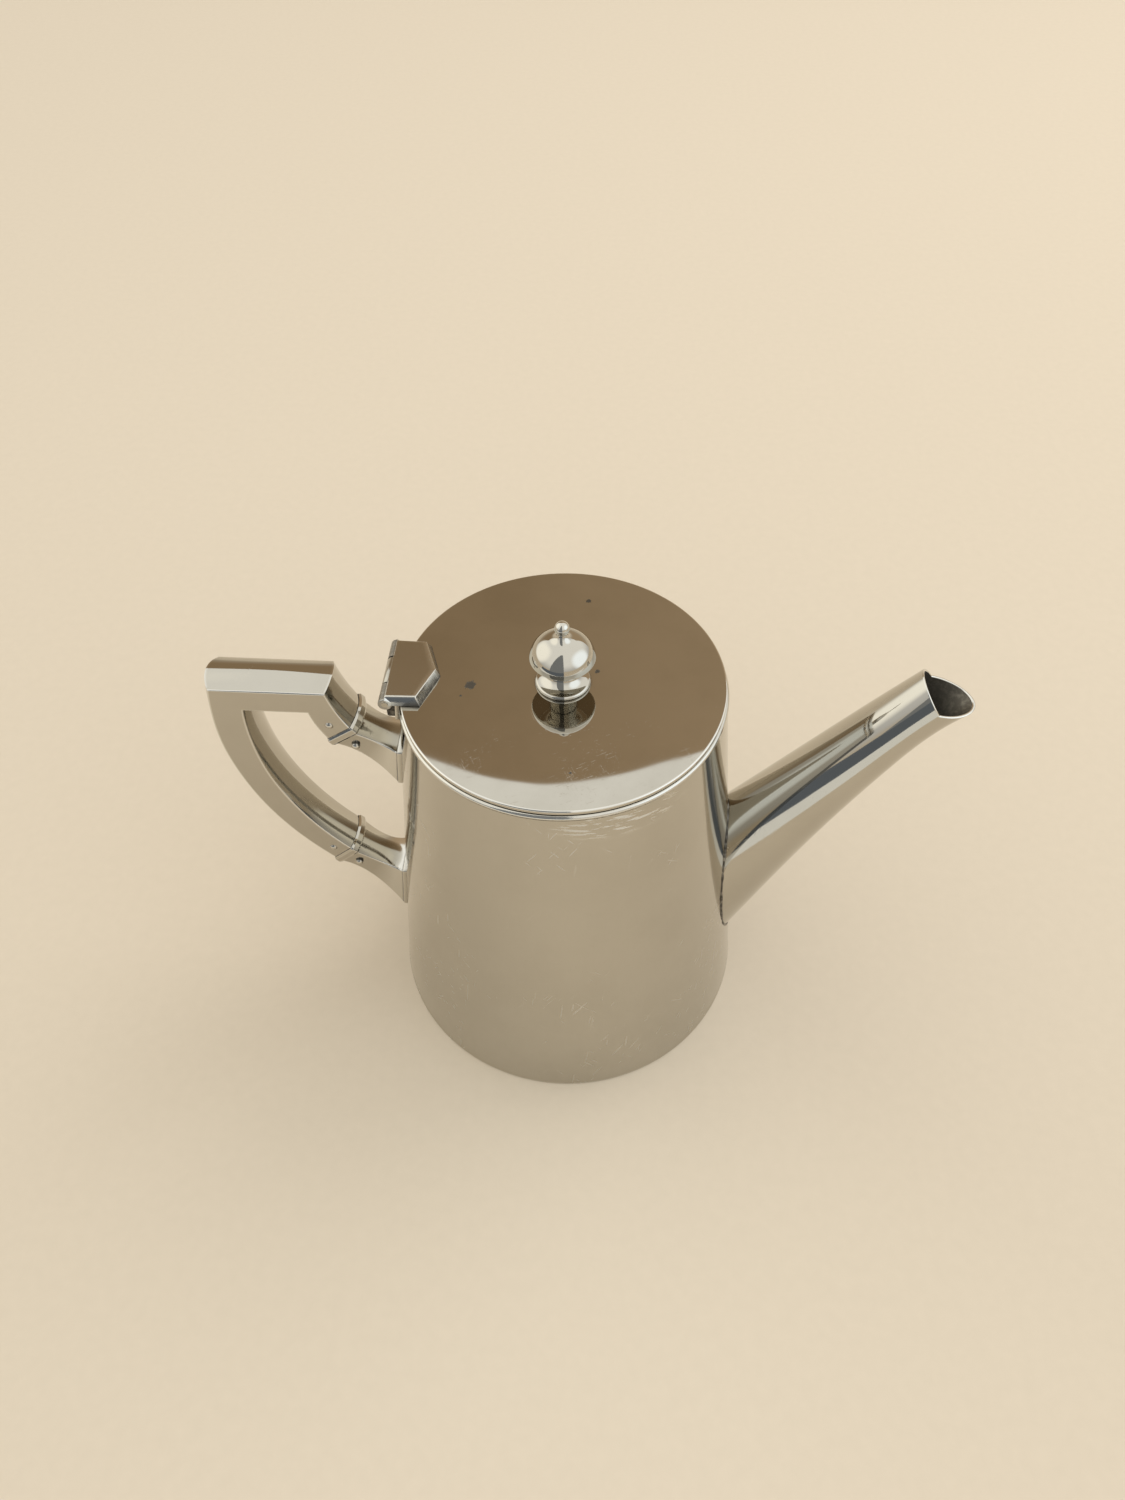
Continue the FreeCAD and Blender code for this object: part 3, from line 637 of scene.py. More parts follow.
def silver(name, gloss, haze, scratches, wave=0.03, tone=SILVER, hairs=UPRIGHT_SCRATCHES, spots=(),
           scuffed=False):
    """Old polished silver: thin clouds, hair scratches, pits, rubbed edges, grimy marks and painted shade.

    Clouds, pits and the slow unevenness of the sheet are plain noises of their own scale. Rubbed
    edges, grimy marks, the painted shade that rides in the same share, and stains follow the shares
    that each piece carries. The marks change the colour, the roughness and the relief.
    """
    made = new_finish(name)
    tree = made.node_tree
    place = node(tree, "ShaderNodeTexCoord").outputs["Object"]
    worn, grime_and_shade, dull = (node(tree, "ShaderNodeAttribute", attribute_name=label).outputs["Fac"]
                         for label in ("worn", "grime_and_shade", "dull"))

    fog = ramp(tree, clouds(tree, place, FOG_SCALE, 5.0, 0.6), *FOG_LEVELS)
    pits = ramp(tree, clouds(tree, place, PIT_SCALE, 1.0), *PIT_LEVELS)
    lines = hair_lines(tree, place, hairs)
    uneven = ramp(tree, clouds(tree, place, DIRT_AND_SHADE_SCALE, 3.0), *DIRT_AND_SHADE_LEVELS, DIRT_AND_SHADE_LEAST, 1.0)
    # Grimy share: dirt, and on the hinge web's ends painted shade; both darken towards near-black
    dirt_and_shade = maths(tree, "MULTIPLY", grime_and_shade, uneven, clamp=True)
    if spots:
        dirt_and_shade = maths(tree, "MAXIMUM", dirt_and_shade, tarnish(tree, place, spots, dull))
    roughened = []
    if scuffed:
        strokes = scuff_strokes(tree, place, lines)
        worn = maths(tree, "MAXIMUM", worn, strokes)
        roughened.append((strokes, ROUGH_SCUFF))

    colour = tone
    for share, amount, over in ((fog, haze, CLOUDED), (worn, RUBBED_SHARE, RUBBED),
                                (pits, PIT_SHARE, CLOUDED), (dull, STAIN_SHARE, STAINED),
                                (dirt_and_shade, 1.0, DIRT_AND_SHADE)):
        colour = blended(tree, maths(tree, "MULTIPLY", share, amount), colour, over)

    roughened += [(fog, ROUGH_FOG * haze), (lines, ROUGH_LINES * scratches), (dirt_and_shade, ROUGH_DIRT_AND_SHADE),
                  (worn, ROUGH_RUBBED), (dull, ROUGH_STAIN)]
    rough = gloss
    for share, amount in roughened:
        rough = maths(tree, "ADD", maths(tree, "MULTIPLY", share, amount), rough)

    swell = node(tree, "ShaderNodeBump", {"Strength": wave, "Distance": SWELL_HEIGHT,
                                          "Height": clouds(tree, place, SWELL_SCALE, 2.0, 0.4)})
    marks = maths(tree, "SUBTRACT", maths(tree, "MULTIPLY", dirt_and_shade, DIRT_AND_SHADE_HEIGHT), lines)
    relief = node(tree, "ShaderNodeBump", {"Strength": MARK_STRENGTH * scratches, "Distance": MARK_HEIGHT,
                                           "Height": marks, "Normal": swell.outputs["Normal"]})
    surface(tree, relief, {"Base Color": colour, "Metallic": 1.0, "Roughness": rough})
    return made


def fibre():
    """Brown pressed fibre of the heat breaks, with a flecked grain."""
    made = new_finish("heat_break_fibre")
    tree = made.node_tree
    place = node(tree, "ShaderNodeTexCoord").outputs["Object"]
    fleck = turned_place(tree, place, FLECK_TURN, FLECK_SIZE)
    grain = clouds(tree, fleck, 1.0, 4.0)
    colour = blended(tree, ramp(tree, grain, *FLECK_LEVELS), FIBRE_DARK, FIBRE_PALE)
    bump = node(tree, "ShaderNodeBump", {"Strength": 0.3, "Distance": 0.0002, "Height": grain})
    surface(tree, bump, {"Base Color": colour, "Roughness": 0.62})
    return made


def floor_finish():
    """Pale matt floor with a faint tooth."""
    made = new_finish("pale_floor")
    tree = made.node_tree
    place = node(tree, "ShaderNodeTexCoord").outputs["Object"]
    tooth = clouds(tree, place, TOOTH_SCALE, 4.0)
    colour = blended(tree, tooth, FLOOR_DARK, FLOOR_PALE)
    bump = node(tree, "ShaderNodeBump", {"Strength": 0.08, "Distance": 0.0005, "Height": tooth})
    surface(tree, bump, {"Base Color": colour, "Roughness": 0.85, "Specular IOR Level": 0.2})
    return made


POT_SILVER = silver("pot_silver", gloss=0.09, haze=0.35, scratches=0.6, scuffed=True)
LID_SILVER = silver("lid_silver", gloss=0.016, haze=0.6, scratches=0.08, wave=0.010, hairs=LEVEL_SCRATCHES,
                    spots=LID_SPOTS)
SPOUT_SILVER = silver("spout_silver", gloss=0.05, haze=0.3, scratches=0.4)
HANDLE_SILVER = silver("handle_silver", gloss=0.055, haze=0.35, scratches=0.5)
HINGE_SILVER = silver("hinge_silver", gloss=0.08, haze=0.6, scratches=0.8)
FINIAL_SILVER = silver("finial_silver", gloss=0.04, haze=0.25, scratches=0.05, wave=0.02)
INSIDE_SILVER = silver("inside_silver", gloss=0.32, haze=0.6, scratches=0.4, tone=STAINED)
FIBRE = fibre()


# Pot

def strainer_places():
    """(sideways, height) of each hole's centre: rows a pitch apart, each centred on the spout."""
    middle = (len(STRAINER_ROWS) - 1) / 2
    return [((hole - (count - 1) / 2) * STRAINER_PITCH,
             SPOUT_TOP_HEIGHT - STRAINER_DROP + (row - middle) * STRAINER_PITCH)
            for row, count in enumerate(STRAINER_ROWS) for hole in range(count)]


def wall_point(turn, height, inset):
    """Point of the wall at a turn about Z and a height, so far inside the outer face."""
    radius = wall_radius(height) - inset
    return np.stack([radius * np.cos(turn), radius * np.sin(turn), height + 0 * turn], -1)


def strainer_band(column, sideways, height):
    """Band of quads that fills a hole's window: from the square of grid points on the outer face to
    the circle, through the wall and back out to the square on the inner face."""
    span = np.arange(-STRAINER_WINDOW, STRAINER_WINDOW)
    edge = np.full(len(span), STRAINER_WINDOW)
    turn = (column + np.concatenate([span, edge, -span, -edge])) * (2 * math.pi / AROUND)
    level = height + np.concatenate([-edge, span, edge, -span])
    squares, circles = [], []
    for inset in (0.0, WALL):
        square = wall_point(turn, level, inset)
        way = np.arctan2(level - height, square[:, 1] - sideways)
        y = sideways + STRAINER_RADIUS * np.cos(way)
        z = height + STRAINER_RADIUS * np.sin(way)
        x = np.sqrt((wall_radius(z) - inset) ** 2 - y ** 2)
        squares.append(square)
        circles.append(np.stack([x, y, z], -1))
    points = np.stack([squares[0], circles[0], circles[1], squares[1]], 1)
    return sheet(points, (True, False), dull=np.array([[0.0, 0.0, 1.0, 1.0]]))


def body_sheets():
    """Tapered wall with real holes.

    A loop profile, up the outer face, over the top and down the inner face, is turned about Z on
    columns that are a millimetre apart behind the spout, so that a hole's place sideways is also its
    column. Round each hole a square window of cells is left out, and a band fills it.
    """
    fine = np.arange(FINE_LOW, FINE_HIGH + 1.0)
    heights = np.concatenate([LOW_LINES, fine, HIGH_LINES, [WALL_HEIGHT]])
    ease = arc((BASE_RADIUS - FOOT_EASE, FOOT_EASE), FOOT_EASE, -90, 0, FOOT_STEPS)
    outer = np.stack([wall_radius(heights), heights], -1)
    inner = np.stack([wall_radius(heights) - WALL, heights], -1)[::-1]
    profile = np.concatenate([[[BASE_RADIUS - WALL, 0.0]], ease, outer, inner])
    first_outer = 1 + len(ease)
    first_inner = first_outer + len(heights)
    keep = np.ones((AROUND, len(profile)), bool)
    bands = []
    for sideways, height in strainer_places():
        column = int(sideways)
        columns = (column + np.arange(-STRAINER_WINDOW, STRAINER_WINDOW)) % AROUND
        low = int(np.argmin(abs(heights - (height - STRAINER_WINDOW))))
        rows = low + np.arange(2 * STRAINER_WINDOW)
        keep[np.ix_(columns, first_outer + rows)] = False
        keep[np.ix_(columns, first_inner + len(heights) - 2 - rows)] = False
        bands.append(strainer_band(column, sideways, height))
    worn = np.zeros(len(profile))
    worn[1:first_outer] = FOOT_WORN
    dull = np.zeros(len(profile))
    dull[first_inner:] = 1.0
    return [sheet(lathe(profile, AROUND), worn=worn[None, :], dull=dull[None, :], keep=keep)] + bands


def disc_sheet(corners, around):
    """Closed outline (radius, height, ease) turned about Z; a corner on the axis closes it."""
    profile, worn = rounded(corners)
    return sheet(lathe(profile, around), worn=worn[None, :])


def base_sheet():
    """Flat bottom whose edge follows the inside of the wall."""
    low, high = BASE_RADIUS - WALL, wall_radius(BOTTOM) - WALL
    return disc_sheet([(0, 0.0, 0), (low, 0.0, 0), (high, BOTTOM, 0), (0, BOTTOM, 0)], AROUND)


def rim_sheet():
    """Half-round bead: a flat bore, flat top and bottom, and half a circle outside."""
    bead = RIM_HEIGHT / 2
    bore = MOUTH_RADIUS - WALL
    swing = np.linspace(-90, 90, RIM_STEPS)
    half = arc((MOUTH_RADIUS + RIM_PROUD - bead, WALL_HEIGHT + bead), bead, -90, 90, RIM_STEPS)
    eased = [[bore + RIM_EASE, RIM_TOP], [bore, RIM_TOP - RIM_EASE]]
    profile = np.concatenate([[[bore, WALL_HEIGHT]], half, eased])
    worn = np.concatenate([[0], np.interp(swing, *RIM_WORN), [RIM_BORE_WORN, RIM_BORE_WORN]])
    return sheet(lathe(profile, AROUND), worn=worn[None, :])


# Spout

SPOUT_WAY = heading(SPOUT_ANGLE)
SPOUT_DOWN = heading(SPOUT_ANGLE - 90)
SPOUT_START = np.array([wall_radius(SPOUT_TOP_HEIGHT), SPOUT_TOP_HEIGHT])
SPOUT_CORNER = SPOUT_START + SPOUT_WAY * MOUTH_CORNER_ALONG + SPOUT_DOWN * MOUTH_CORNER_DEPTH


def tube_point(along, turn, inset):
    """Point of the spout: so far along the straight top line, down by half the oval's depth times
    one minus the cosine of the turn, and sideways by half its width times the sine."""
    depth = spline(SPOUT_ALONG, SPOUT_DEPTHS, along) - 2 * inset
    width = spline(SPOUT_ALONG, SPOUT_WIDTHS, along) - 2 * inset
    drop = inset + depth / 2 * (1 - np.cos(turn))
    return np.stack([SPOUT_START[0] + SPOUT_WAY[0] * along + SPOUT_DOWN[0] * drop,
                     width / 2 * np.sin(turn),
                     SPOUT_START[1] + SPOUT_WAY[1] * along + SPOUT_DOWN[1] * drop], -1)


def beyond_wall(points, sink):
    """How far points stand out of the wall, plus a sink."""
    return np.hypot(points[..., 0], points[..., 1]) - wall_radius(points[..., 2]) + sink


def beyond_mouth(points, pull):
    """How far points stand past the mouth's two planes, which meet at the notch, plus a pull."""
    offset = points[..., [0, 2]] - SPOUT_CORNER
    return np.minimum(offset @ heading(LIP_ANGLE + 90), offset @ heading(MOUTH_CUT_ANGLE - 90)) + pull


def halved(past, between, turn, inset):
    """Where along the tube a measure passes zero, by halving a range over and over."""
    low, high = (np.full_like(turn, end) for end in between)
    for _ in range(HALVINGS):
        middle = (low + high) / 2
        out = past(tube_point(middle, turn, inset)) > 0
        low, high = np.where(out, low, middle), np.where(out, middle, high)
    return (low + high) / 2


def spout_turns():
    """Turns round the tube, with one of them on each side of the notch exactly."""
    turn = np.linspace(0, 2 * math.pi, SPOUT_COLUMNS, endpoint=False)
    depth = float(spline(SPOUT_ALONG, SPOUT_DEPTHS, MOUTH_CORNER_ALONG))
    notch = math.acos(1 - 2 * MOUTH_CORNER_DEPTH / depth)
    for exact in (notch, 2 * math.pi - notch):
        turn[np.argmin(abs(turn - exact))] = exact
    return turn


def lip_rows(outside, inside):
    """Rows over the lip: half an oval from the outer face's end to the inner face's, whose width is
    the wall there and whose height, along the way that both faces take, is the lip's round."""
    half = (outside[:, -1] - inside[:, -1]) / 2
    middle = (outside[:, -1] + inside[:, -1]) / 2
    side = unit(half)
    way = unit(unit(outside[:, -1] - outside[:, -2]) + unit(inside[:, -1] - inside[:, -2]))
    way = unit(way - np.einsum("ij,ij->i", way, side)[:, None] * side)
    swing = np.linspace(0, math.pi, LIP_STEPS)[1:-1, None]
    return middle[:, None] + half[:, None] * np.cos(swing) + way[:, None] * LIP_ROUND * np.sin(swing)


def spout_sheet():
    """Oval tube trimmed to the wall and to the mouth's two planes, with a rounded lip.

    The rows run from the root up the outside, over the lip and back down the inside to the root.
    The wall thins towards the lip by a high power of the share of the way.
    """
    turn = spout_turns()
    share = np.sin(np.linspace(0, math.pi / 2, SPOUT_ROWS)) ** 2
    ends = np.array(SPOUT_END_ROWS)
    share = np.unique(np.concatenate([share, ends, 1 - ends]))
    faces = []
    for inset, thin in ((0.0, 0.0), (SPOUT_WALL, LIP_THIN)):
        root = halved(lambda p: beyond_wall(p, SINK), ROOT_BETWEEN, turn, inset)
        tip = halved(lambda p: beyond_mouth(p, LIP_ROUND), LIP_BETWEEN, turn, inset - thin)
        along = root[:, None] + (tip - root)[:, None] * share
        faces.append(tube_point(along, turn[:, None], inset - thin * share ** LIP_THIN_POWER))
    outside, inside = faces
    lip = lip_rows(outside, inside)
    points = np.concatenate([outside, lip, inside[:, ::-1]], 1)
    first_lip = len(share)
    first_inside = first_lip + lip.shape[1]
    worn = np.zeros(points.shape[1])
    worn[first_lip:first_inside] = 1.0
    worn[[first_lip - 1, first_inside]] = LIP_SIDE_WORN
    from_root = np.linalg.norm(outside - outside[:, :1], axis=-1)
    grime_and_shade = np.zeros(points.shape[:2])
    grime_and_shade[:, :first_lip] = ROOT_GRIME * np.exp(-(from_root / SPOUT_GRIME_REACH) ** 2)
    grime_and_shade[:, first_inside:] = SPOUT_INSIDE_GRIME
    dull = np.zeros(points.shape[1])
    dull[first_inside:] = 1.0
    return sheet(points, (True, True), worn[None, :], grime_and_shade, dull[None, :])


def seam_sheet():
    """Line of solder round the spout's root: a small circle of uneven radius carried round it."""
    turn = np.linspace(0, 2 * math.pi, SEAM_COLUMNS, endpoint=False)
    along = halved(lambda p: beyond_wall(p, 0.0), ROOT_BETWEEN, turn, 0.0)
    path = tube_point(along, turn, 0.0)
    tangent = unit(np.roll(path, -1, 0) - np.roll(path, 1, 0))
    out = unit(path * np.array([1.0, 1.0, 0.0]))
    side = unit(np.cross(tangent, out))
    out = np.cross(side, tangent)
    waves = sum(height * np.sin(count * turn + start) for height, count, start in SEAM_WAVES)
    radius = (SEAM_RADIUS * (1 + waves))[:, None, None]
    ring = np.linspace(0, 2 * math.pi, SEAM_SIDES, endpoint=False)[:, None]
    points = path[:, None] + radius * (out[:, None] * np.cos(ring) + side[:, None] * np.sin(ring))
    return sheet(points, grime_and_shade=SEAM_GRIME)


# Handle

def bar_rings(outer, inner, width, crown):
    """Rings of a bar section through rows of outer and inner points (x, z).

    Flat sides at half the width, crowned faces on circles that rise by the crown over that width,
    and small arcs of the grip's edge where they meet. Also gives 1 on those arcs.
    """
    outer, inner = np.atleast_2d(outer), np.atleast_2d(inner)
    depth = np.linalg.norm(outer - inner, axis=1)
    out = (outer - inner) / depth[:, None]
    middle = (outer + inner) / 2
    half = np.broadcast_to(np.asarray(width, float) / 2, depth.shape)
    crown = np.broadcast_to(np.asarray(crown, float), depth.shape)
    radius = (half ** 2 + crown ** 2) / (2 * crown)
    hub = depth / 2 + crown - radius
    ease_y = half - GRIP_EDGE
    ease_s = hub + np.sqrt((radius - GRIP_EDGE) ** 2 - ease_y ** 2)
    meet = np.arctan2(ease_s - hub, ease_y)[:, None]
    bend = np.linspace(0, 1, EDGE_STEPS) * meet
    swing = meet + (math.pi - 2 * meet) * FACE_SHARES
    edge_y = ease_y[:, None] + GRIP_EDGE * np.cos(bend)
    edge_s = ease_s[:, None] + GRIP_EDGE * np.sin(bend)
    face_y = radius[:, None] * np.cos(swing)
    face_s = hub[:, None] + radius[:, None] * np.sin(swing)
    up_y = np.concatenate([edge_y, face_y, -edge_y[:, ::-1]], 1)
    up_s = np.concatenate([edge_s, face_s, edge_s[:, ::-1]], 1)
    side_y = np.repeat(half[:, None], len(SIDE_SHARES), 1)
    side_s = ease_s[:, None] * SIDE_SHARES
    y = np.concatenate([side_y, up_y, -side_y, -up_y], 1)
    s = np.concatenate([side_s, up_s, -side_s, -up_s], 1)
    x = middle[:, None, 0] + out[:, None, 0] * s
    z = middle[:, None, 1] + out[:, None, 1] * s
    on_edge = np.ones(EDGE_STEPS)
    edge = np.concatenate([0 * SIDE_SHARES, on_edge, 0 * FACE_SHARES, on_edge])
    return np.stack([x, y, z], -1), np.tile(edge, 2)


def capped(rings):
    """Rings with each end closed onto its own middle."""
    return np.concatenate([np.repeat(rings[:1].mean(1, keepdims=True), rings.shape[1], 1), rings,
                           np.repeat(rings[-1:].mean(1, keepdims=True), rings.shape[1], 1)])


def collar_centre(reach, height):
    """Centre of a collar: so far out from the wall at a height, on the handle's side."""
    return np.array([-(wall_radius(height) + reach), height])


UPPER = (collar_centre(UPPER_COLLAR_REACH, UPPER_COLLAR_HEIGHT), UPPER_COLLAR_ANGLE)
LOWER = (collar_centre(LOWER_COLLAR_REACH, LOWER_COLLAR_HEIGHT), LOWER_COLLAR_ANGLE)


def across(joint, step, depth):
    """Outer and inner points square to a handle joint, a step along its axis."""
    centre, angle = joint
    middle = centre + heading(angle) * step
    side = heading(angle + 90) * (depth / 2)
    return np.array([middle + side, middle - side])


def level_point(centre, radius, height):
    """Point of a circle (x, z) at a height, on its left side."""
    return np.array([centre[0] - math.sqrt(radius ** 2 - (height - centre[1]) ** 2), height])


def way_shares(rows):
    """Shares of the way at which rows stand, measured along their middles."""
    gaps = np.linalg.norm(np.diff((rows[:, 0:2] + rows[:, 2:4]) / 2, axis=0), axis=1)
    return np.concatenate([[0], np.cumsum(gaps)]) / gaps.sum()


def grip_row(section, depth):
    """Outer point, inner point and crown of a section; the crown grows as the section slants."""
    outer, inner = section
    return [*outer, *inner, GRIP_CROWN * np.linalg.norm(outer - inner) / depth]


def leg_rows():
    """Rows of the leg: at the upper collar, in its hollowed middle and at the right mitre."""
    foot = across(UPPER, -COLLAR_LENGTH / 2, LEG_DEPTH)
    slant = math.tan(math.radians(LEG_LEAN))
    levels = (GRIP_TOP, GRIP_TOP - GRIP_BAR)
    mitre = np.array([[x - (level - z) * slant, level] for (x, z), level in zip(foot, levels)])
    middle = (foot + mitre) / 2 - np.array([LEG_HOLLOW, 0])
    return np.array([grip_row(foot, LEG_DEPTH), grip_row(middle, LEG_DEPTH), grip_row(mitre, GRIP_BAR)])


def bow_rows():
    """Rows of the bow: at the left mitre, then square to its circle down to the lower collar."""
    centre = LOWER[0] + heading(LOWER_COLLAR_ANGLE + 90) * BOW_RADIUS
    mitre = np.array([level_point(centre, BOW_RADIUS + BOW_TOP_DEPTH / 2, GRIP_TOP),
                      level_point(centre, BOW_RADIUS - BOW_TOP_DEPTH / 2, GRIP_TOP - GRIP_BAR)])
    corner = mitre[1] - centre
    first = math.degrees(math.atan2(corner[1], corner[0]) + GRIP_BAR / BOW_RADIUS)
    last = LOWER_COLLAR_ANGLE + 270
    rows = [grip_row(mitre, GRIP_BAR)]
    for share in np.arange(BOW_STEPS) / BOW_STEPS:
        depth = BOW_TOP_DEPTH + (BOW_END_DEPTH - BOW_TOP_DEPTH) * share
        reach = np.array([BOW_RADIUS + depth / 2, BOW_RADIUS - depth / 2])
        rows.append(grip_row(centre + np.outer(reach, heading(first + (last - first) * share)), depth))
    rows.append(grip_row(across(LOWER, -COLLAR_LENGTH / 2, BOW_END_DEPTH)[::-1], BOW_END_DEPTH))
    return np.array(rows)


def grip_sheet():
    """Handle grip: leg, top bar and bow as one bar section carried along them.

    The leg follows a shallow curve through three sections, the bar is straight between the two
    mitres, and the bow is a smooth curve through its sections. The mitres are rubbed.
    """
    leg, bow = leg_rows(), bow_rows()
    leg_line = through_three(way_shares(leg), leg, LEG_ROWS)
    bar_line = leg[-1] + (bow[0] - leg[-1]) * BAR_ROWS[:, None]
    bow_line = spline(way_shares(bow), bow, BOW_ROWS)
    rows = np.concatenate([leg_line, bar_line[1:], bow_line[1:]])
    rings, edge = bar_rings(rows[:, 0:2], rows[:, 2:4], GRIP_WIDTH, rows[:, 4])
    worn = np.repeat(edge[None, :], len(rings) + 2, 0)
    on_face = abs(rings[..., 1]) < GRIP_WIDTH / 2 - GRIP_EDGE
    for mitre in (len(leg_line), len(leg_line) + len(bar_line) - 1):
        worn[mitre] = np.maximum(worn[mitre], MITRE_WORN * on_face[mitre - 1])
    return sheet(capped(rings), (False, True), worn)


def collar_sheet(joint, depth):
    """Raised band: a small closed profile of sloped edges and a flat top, carried round the bar."""
    half, flat = COLLAR_LENGTH / 2, COLLAR_FLAT / 2
    profile, worn = rounded([(-half, -COLLAR_SEAT, 0), (-half, COLLAR_EDGE, COLLAR_FOOT_ROUND),
                             (-flat, COLLAR_PROUD, COLLAR_ROUND), (flat, COLLAR_PROUD, COLLAR_ROUND),
                             (half, COLLAR_EDGE, COLLAR_FOOT_ROUND), (half, -COLLAR_SEAT, 0)],
                            steps=5, support=0.05)
    centre, angle = joint
    middle = centre + heading(angle) * profile[:, :1]
    side = heading(angle + 90) * (depth / 2 + profile[:, 1:])
    rings, _ = bar_rings(middle + side, middle - side, GRIP_WIDTH + 2 * profile[:, 1], GRIP_CROWN)
    grime_and_shade = np.where(profile[:, 1] < COLLAR_EDGE, 1.0, 0.0)
    return sheet(rings, (True, True), worn[:, None] * COLLAR_WORN, grime_and_shade[:, None])


def pad_face(pad):
    """Upper and lower points of a socket pad's outer face."""
    return np.array([[-(wall_radius(z) + PAD_THICKNESS), z] for z in pad[::-1]])


def pad_ring(pad, inset):
    """Outline on a pad's face with slightly crowned ends, drawn in all round by an inset."""
    top, bottom = pad_face(pad)
    end = unit(top - bottom) * (PAD_CROWN + inset)
    rings, _ = bar_rings(top - end, bottom + end, PAD_WIDTH - 2 * inset, PAD_CROWN)
    return rings[0]


def pad_sheet(pad):
    """Pad on the wall: its outline eased at the face, then carried straight back into the wall."""
    rings = []
    for swing in np.radians(np.linspace(0, 90, PAD_STEPS)):
        back_by = np.array([PAD_EASE * (1 - math.cos(swing)), 0, 0])
        rings.append(pad_ring(pad, PAD_EASE * (1 - math.sin(swing))) + back_by)
    back = rings[-1].copy()
    back[:, 0] = -np.sqrt((wall_radius(back[:, 2]) - SINK) ** 2 - back[:, 1] ** 2)
    edge = rings[-1] * (1 - PAD_BACK_SHARE) + back * PAD_BACK_SHARE
    inner_face = (rings[0] + rings[0].mean(0)) / 2
    rows = np.array([inner_face] + rings + [edge, back])
    worn = np.concatenate([[0, 0], np.full(PAD_STEPS, PAD_WORN), [0, 0, 0]])
    grime_and_shade = np.concatenate([[0, 0], np.zeros(PAD_STEPS), [0, PAD_GRIME, PAD_GRIME]])
    return sheet(capped(rows), (False, True), worn[:, None], grime_and_shade[:, None])


def socket_sheet(joint, waist, pad):
    """Flared arm: a curve of the second degree through a section at the collar, a waist and the pad."""
    start = across(joint, COLLAR_LENGTH / 2, SOCKET_DEPTH)
    face = pad_face(pad)
    near, far = start.mean(0), face.mean(0)
    middle = near + (far - near) * WAIST_SHARE + np.array([0, SOCKET_LIFT])
    lean = unit(unit(start[0] - start[1]) + unit(face[0] - face[1])) * (waist / 2)
    inset = unit(face[0] - face[1]) * (PAD_CROWN + PAD_LEDGE)
    rows = np.array([[*start[0], *start[1], GRIP_WIDTH, GRIP_CROWN],
                     [*(middle + lean), *(middle - lean), WAIST_WIDTH, WAIST_CROWN],
                     [*(face[0] - inset), *(face[1] + inset), PAD_WIDTH - 2 * PAD_BORDER, PAD_CROWN]])
    line = through_three(way_shares(rows), rows, SOCKET_ROWS)
    rings, edge = bar_rings(line[:, 0:2], line[:, 2:4], line[:, 4], line[:, 5])
    grime_and_shade = np.concatenate([[0], np.interp(SOCKET_ROWS, *SOCKET_GRIME), [0]])
    rubbed = np.concatenate([[0], np.interp(SOCKET_ROWS, *SOCKET_WORN), [0]])
    worn = np.maximum(SOCKET_EDGE_WORN * edge[None, :], rubbed[:, None])
    return sheet(capped(rings), (False, True), worn, grime_and_shade[:, None])


def pin_sheet(joint, side):
    """Cross pin: a plain rod with a low spherical cap at each end, turned about its own axis."""
    half = GRIP_WIDTH / 2
    dome = (PIN_RADIUS ** 2 + PIN_PROUD ** 2) / (2 * PIN_PROUD)
    reach = math.degrees(math.asin(PIN_RADIUS / dome))
    cap = arc((0, half + PIN_PROUD - dome), dome, 90, 90 - reach, PIN_CAP_STEPS)
    rod = np.array([[PIN_RADIUS, half - PIN_NECK]])
    profile = np.concatenate([cap, rod, rod * [1, -1], (cap * [1, -1])[::-1]])
    grime_and_shade = np.concatenate([np.zeros(PIN_CAP_STEPS - 2), PIN_GRIME])
    grime_and_shade = np.concatenate([grime_and_shade, grime_and_shade[::-1]])
    points = lathe(profile, PIN_AROUND)
    centre, angle = joint
    place = centre + heading(angle) * (side * PIN_STEP)
    moved = np.stack([points[..., 0] + place[0], points[..., 2], points[..., 1] + place[1]], -1)
    return sheet(moved, (True, False), PIN_WORN, grime_and_shade[None, :])


# Lid, hinge and finial

def lid_sheet():
    """Flat disc with an eased edge and a hole for the stud, grimy round the foot and dull below."""
    rows = np.linspace(STUD_HOLE, LID_RADIUS - LID_EDGE_BAND, LID_ROWS)[1:]
    rows = np.unique(np.concatenate([rows, FOOT_RADIUS + np.array(LID_FOOT_ROWS)]))
    low = [(STUD_HOLE, LID_UNDER, 0), (LID_RADIUS, LID_UNDER, LOW_EDGE), (LID_RADIUS, LID_TOP, LID_EDGE)]
    top = [(radius, LID_TOP, 0) for radius in rows[::-1]]
    profile, worn = rounded(low + top + [(STUD_HOLE, LID_TOP, 0)], steps=7, support=0.15)
    on_top = profile[:, 1] > LID_TOP - TOP_SLACK
    grime_and_shade = LID_FOOT_GRIME * np.exp(-((profile[:, 0] - FOOT_RADIUS) / GRIME_REACH) ** 2) * on_top
    dull = (profile[:, 1] < LID_TOP - STAIN_DROP) * LID_UNDER_DULL
    return sheet(lathe(profile, AROUND), (True, True), worn[None, :], grime_and_shade[None, :], dull[None, :])


def flange_sheet():
    """Bezel: a ring with two eased edges below."""
    low = LID_UNDER - FLANGE_HEIGHT
    inner = FLANGE_OUTER - FLANGE_WALL
    return disc_sheet([(inner, low, LOW_EDGE), (FLANGE_OUTER, low, LOW_EDGE), (FLANGE_OUTER, LID_UNDER, 0),
                       (inner, LID_UNDER, 0)], AROUND)


def washer_sheet():
    """Washer: a flat ring with its lower edge eased."""
    low = LID_UNDER - WASHER_THICKNESS
    return disc_sheet([(STUD_HOLE, low, 0), (WASHER_RADIUS, low, LOW_EDGE), (WASHER_RADIUS, LID_UNDER, 0),
                       (STUD_HOLE, LID_UNDER, 0)], WASHER_AROUND)


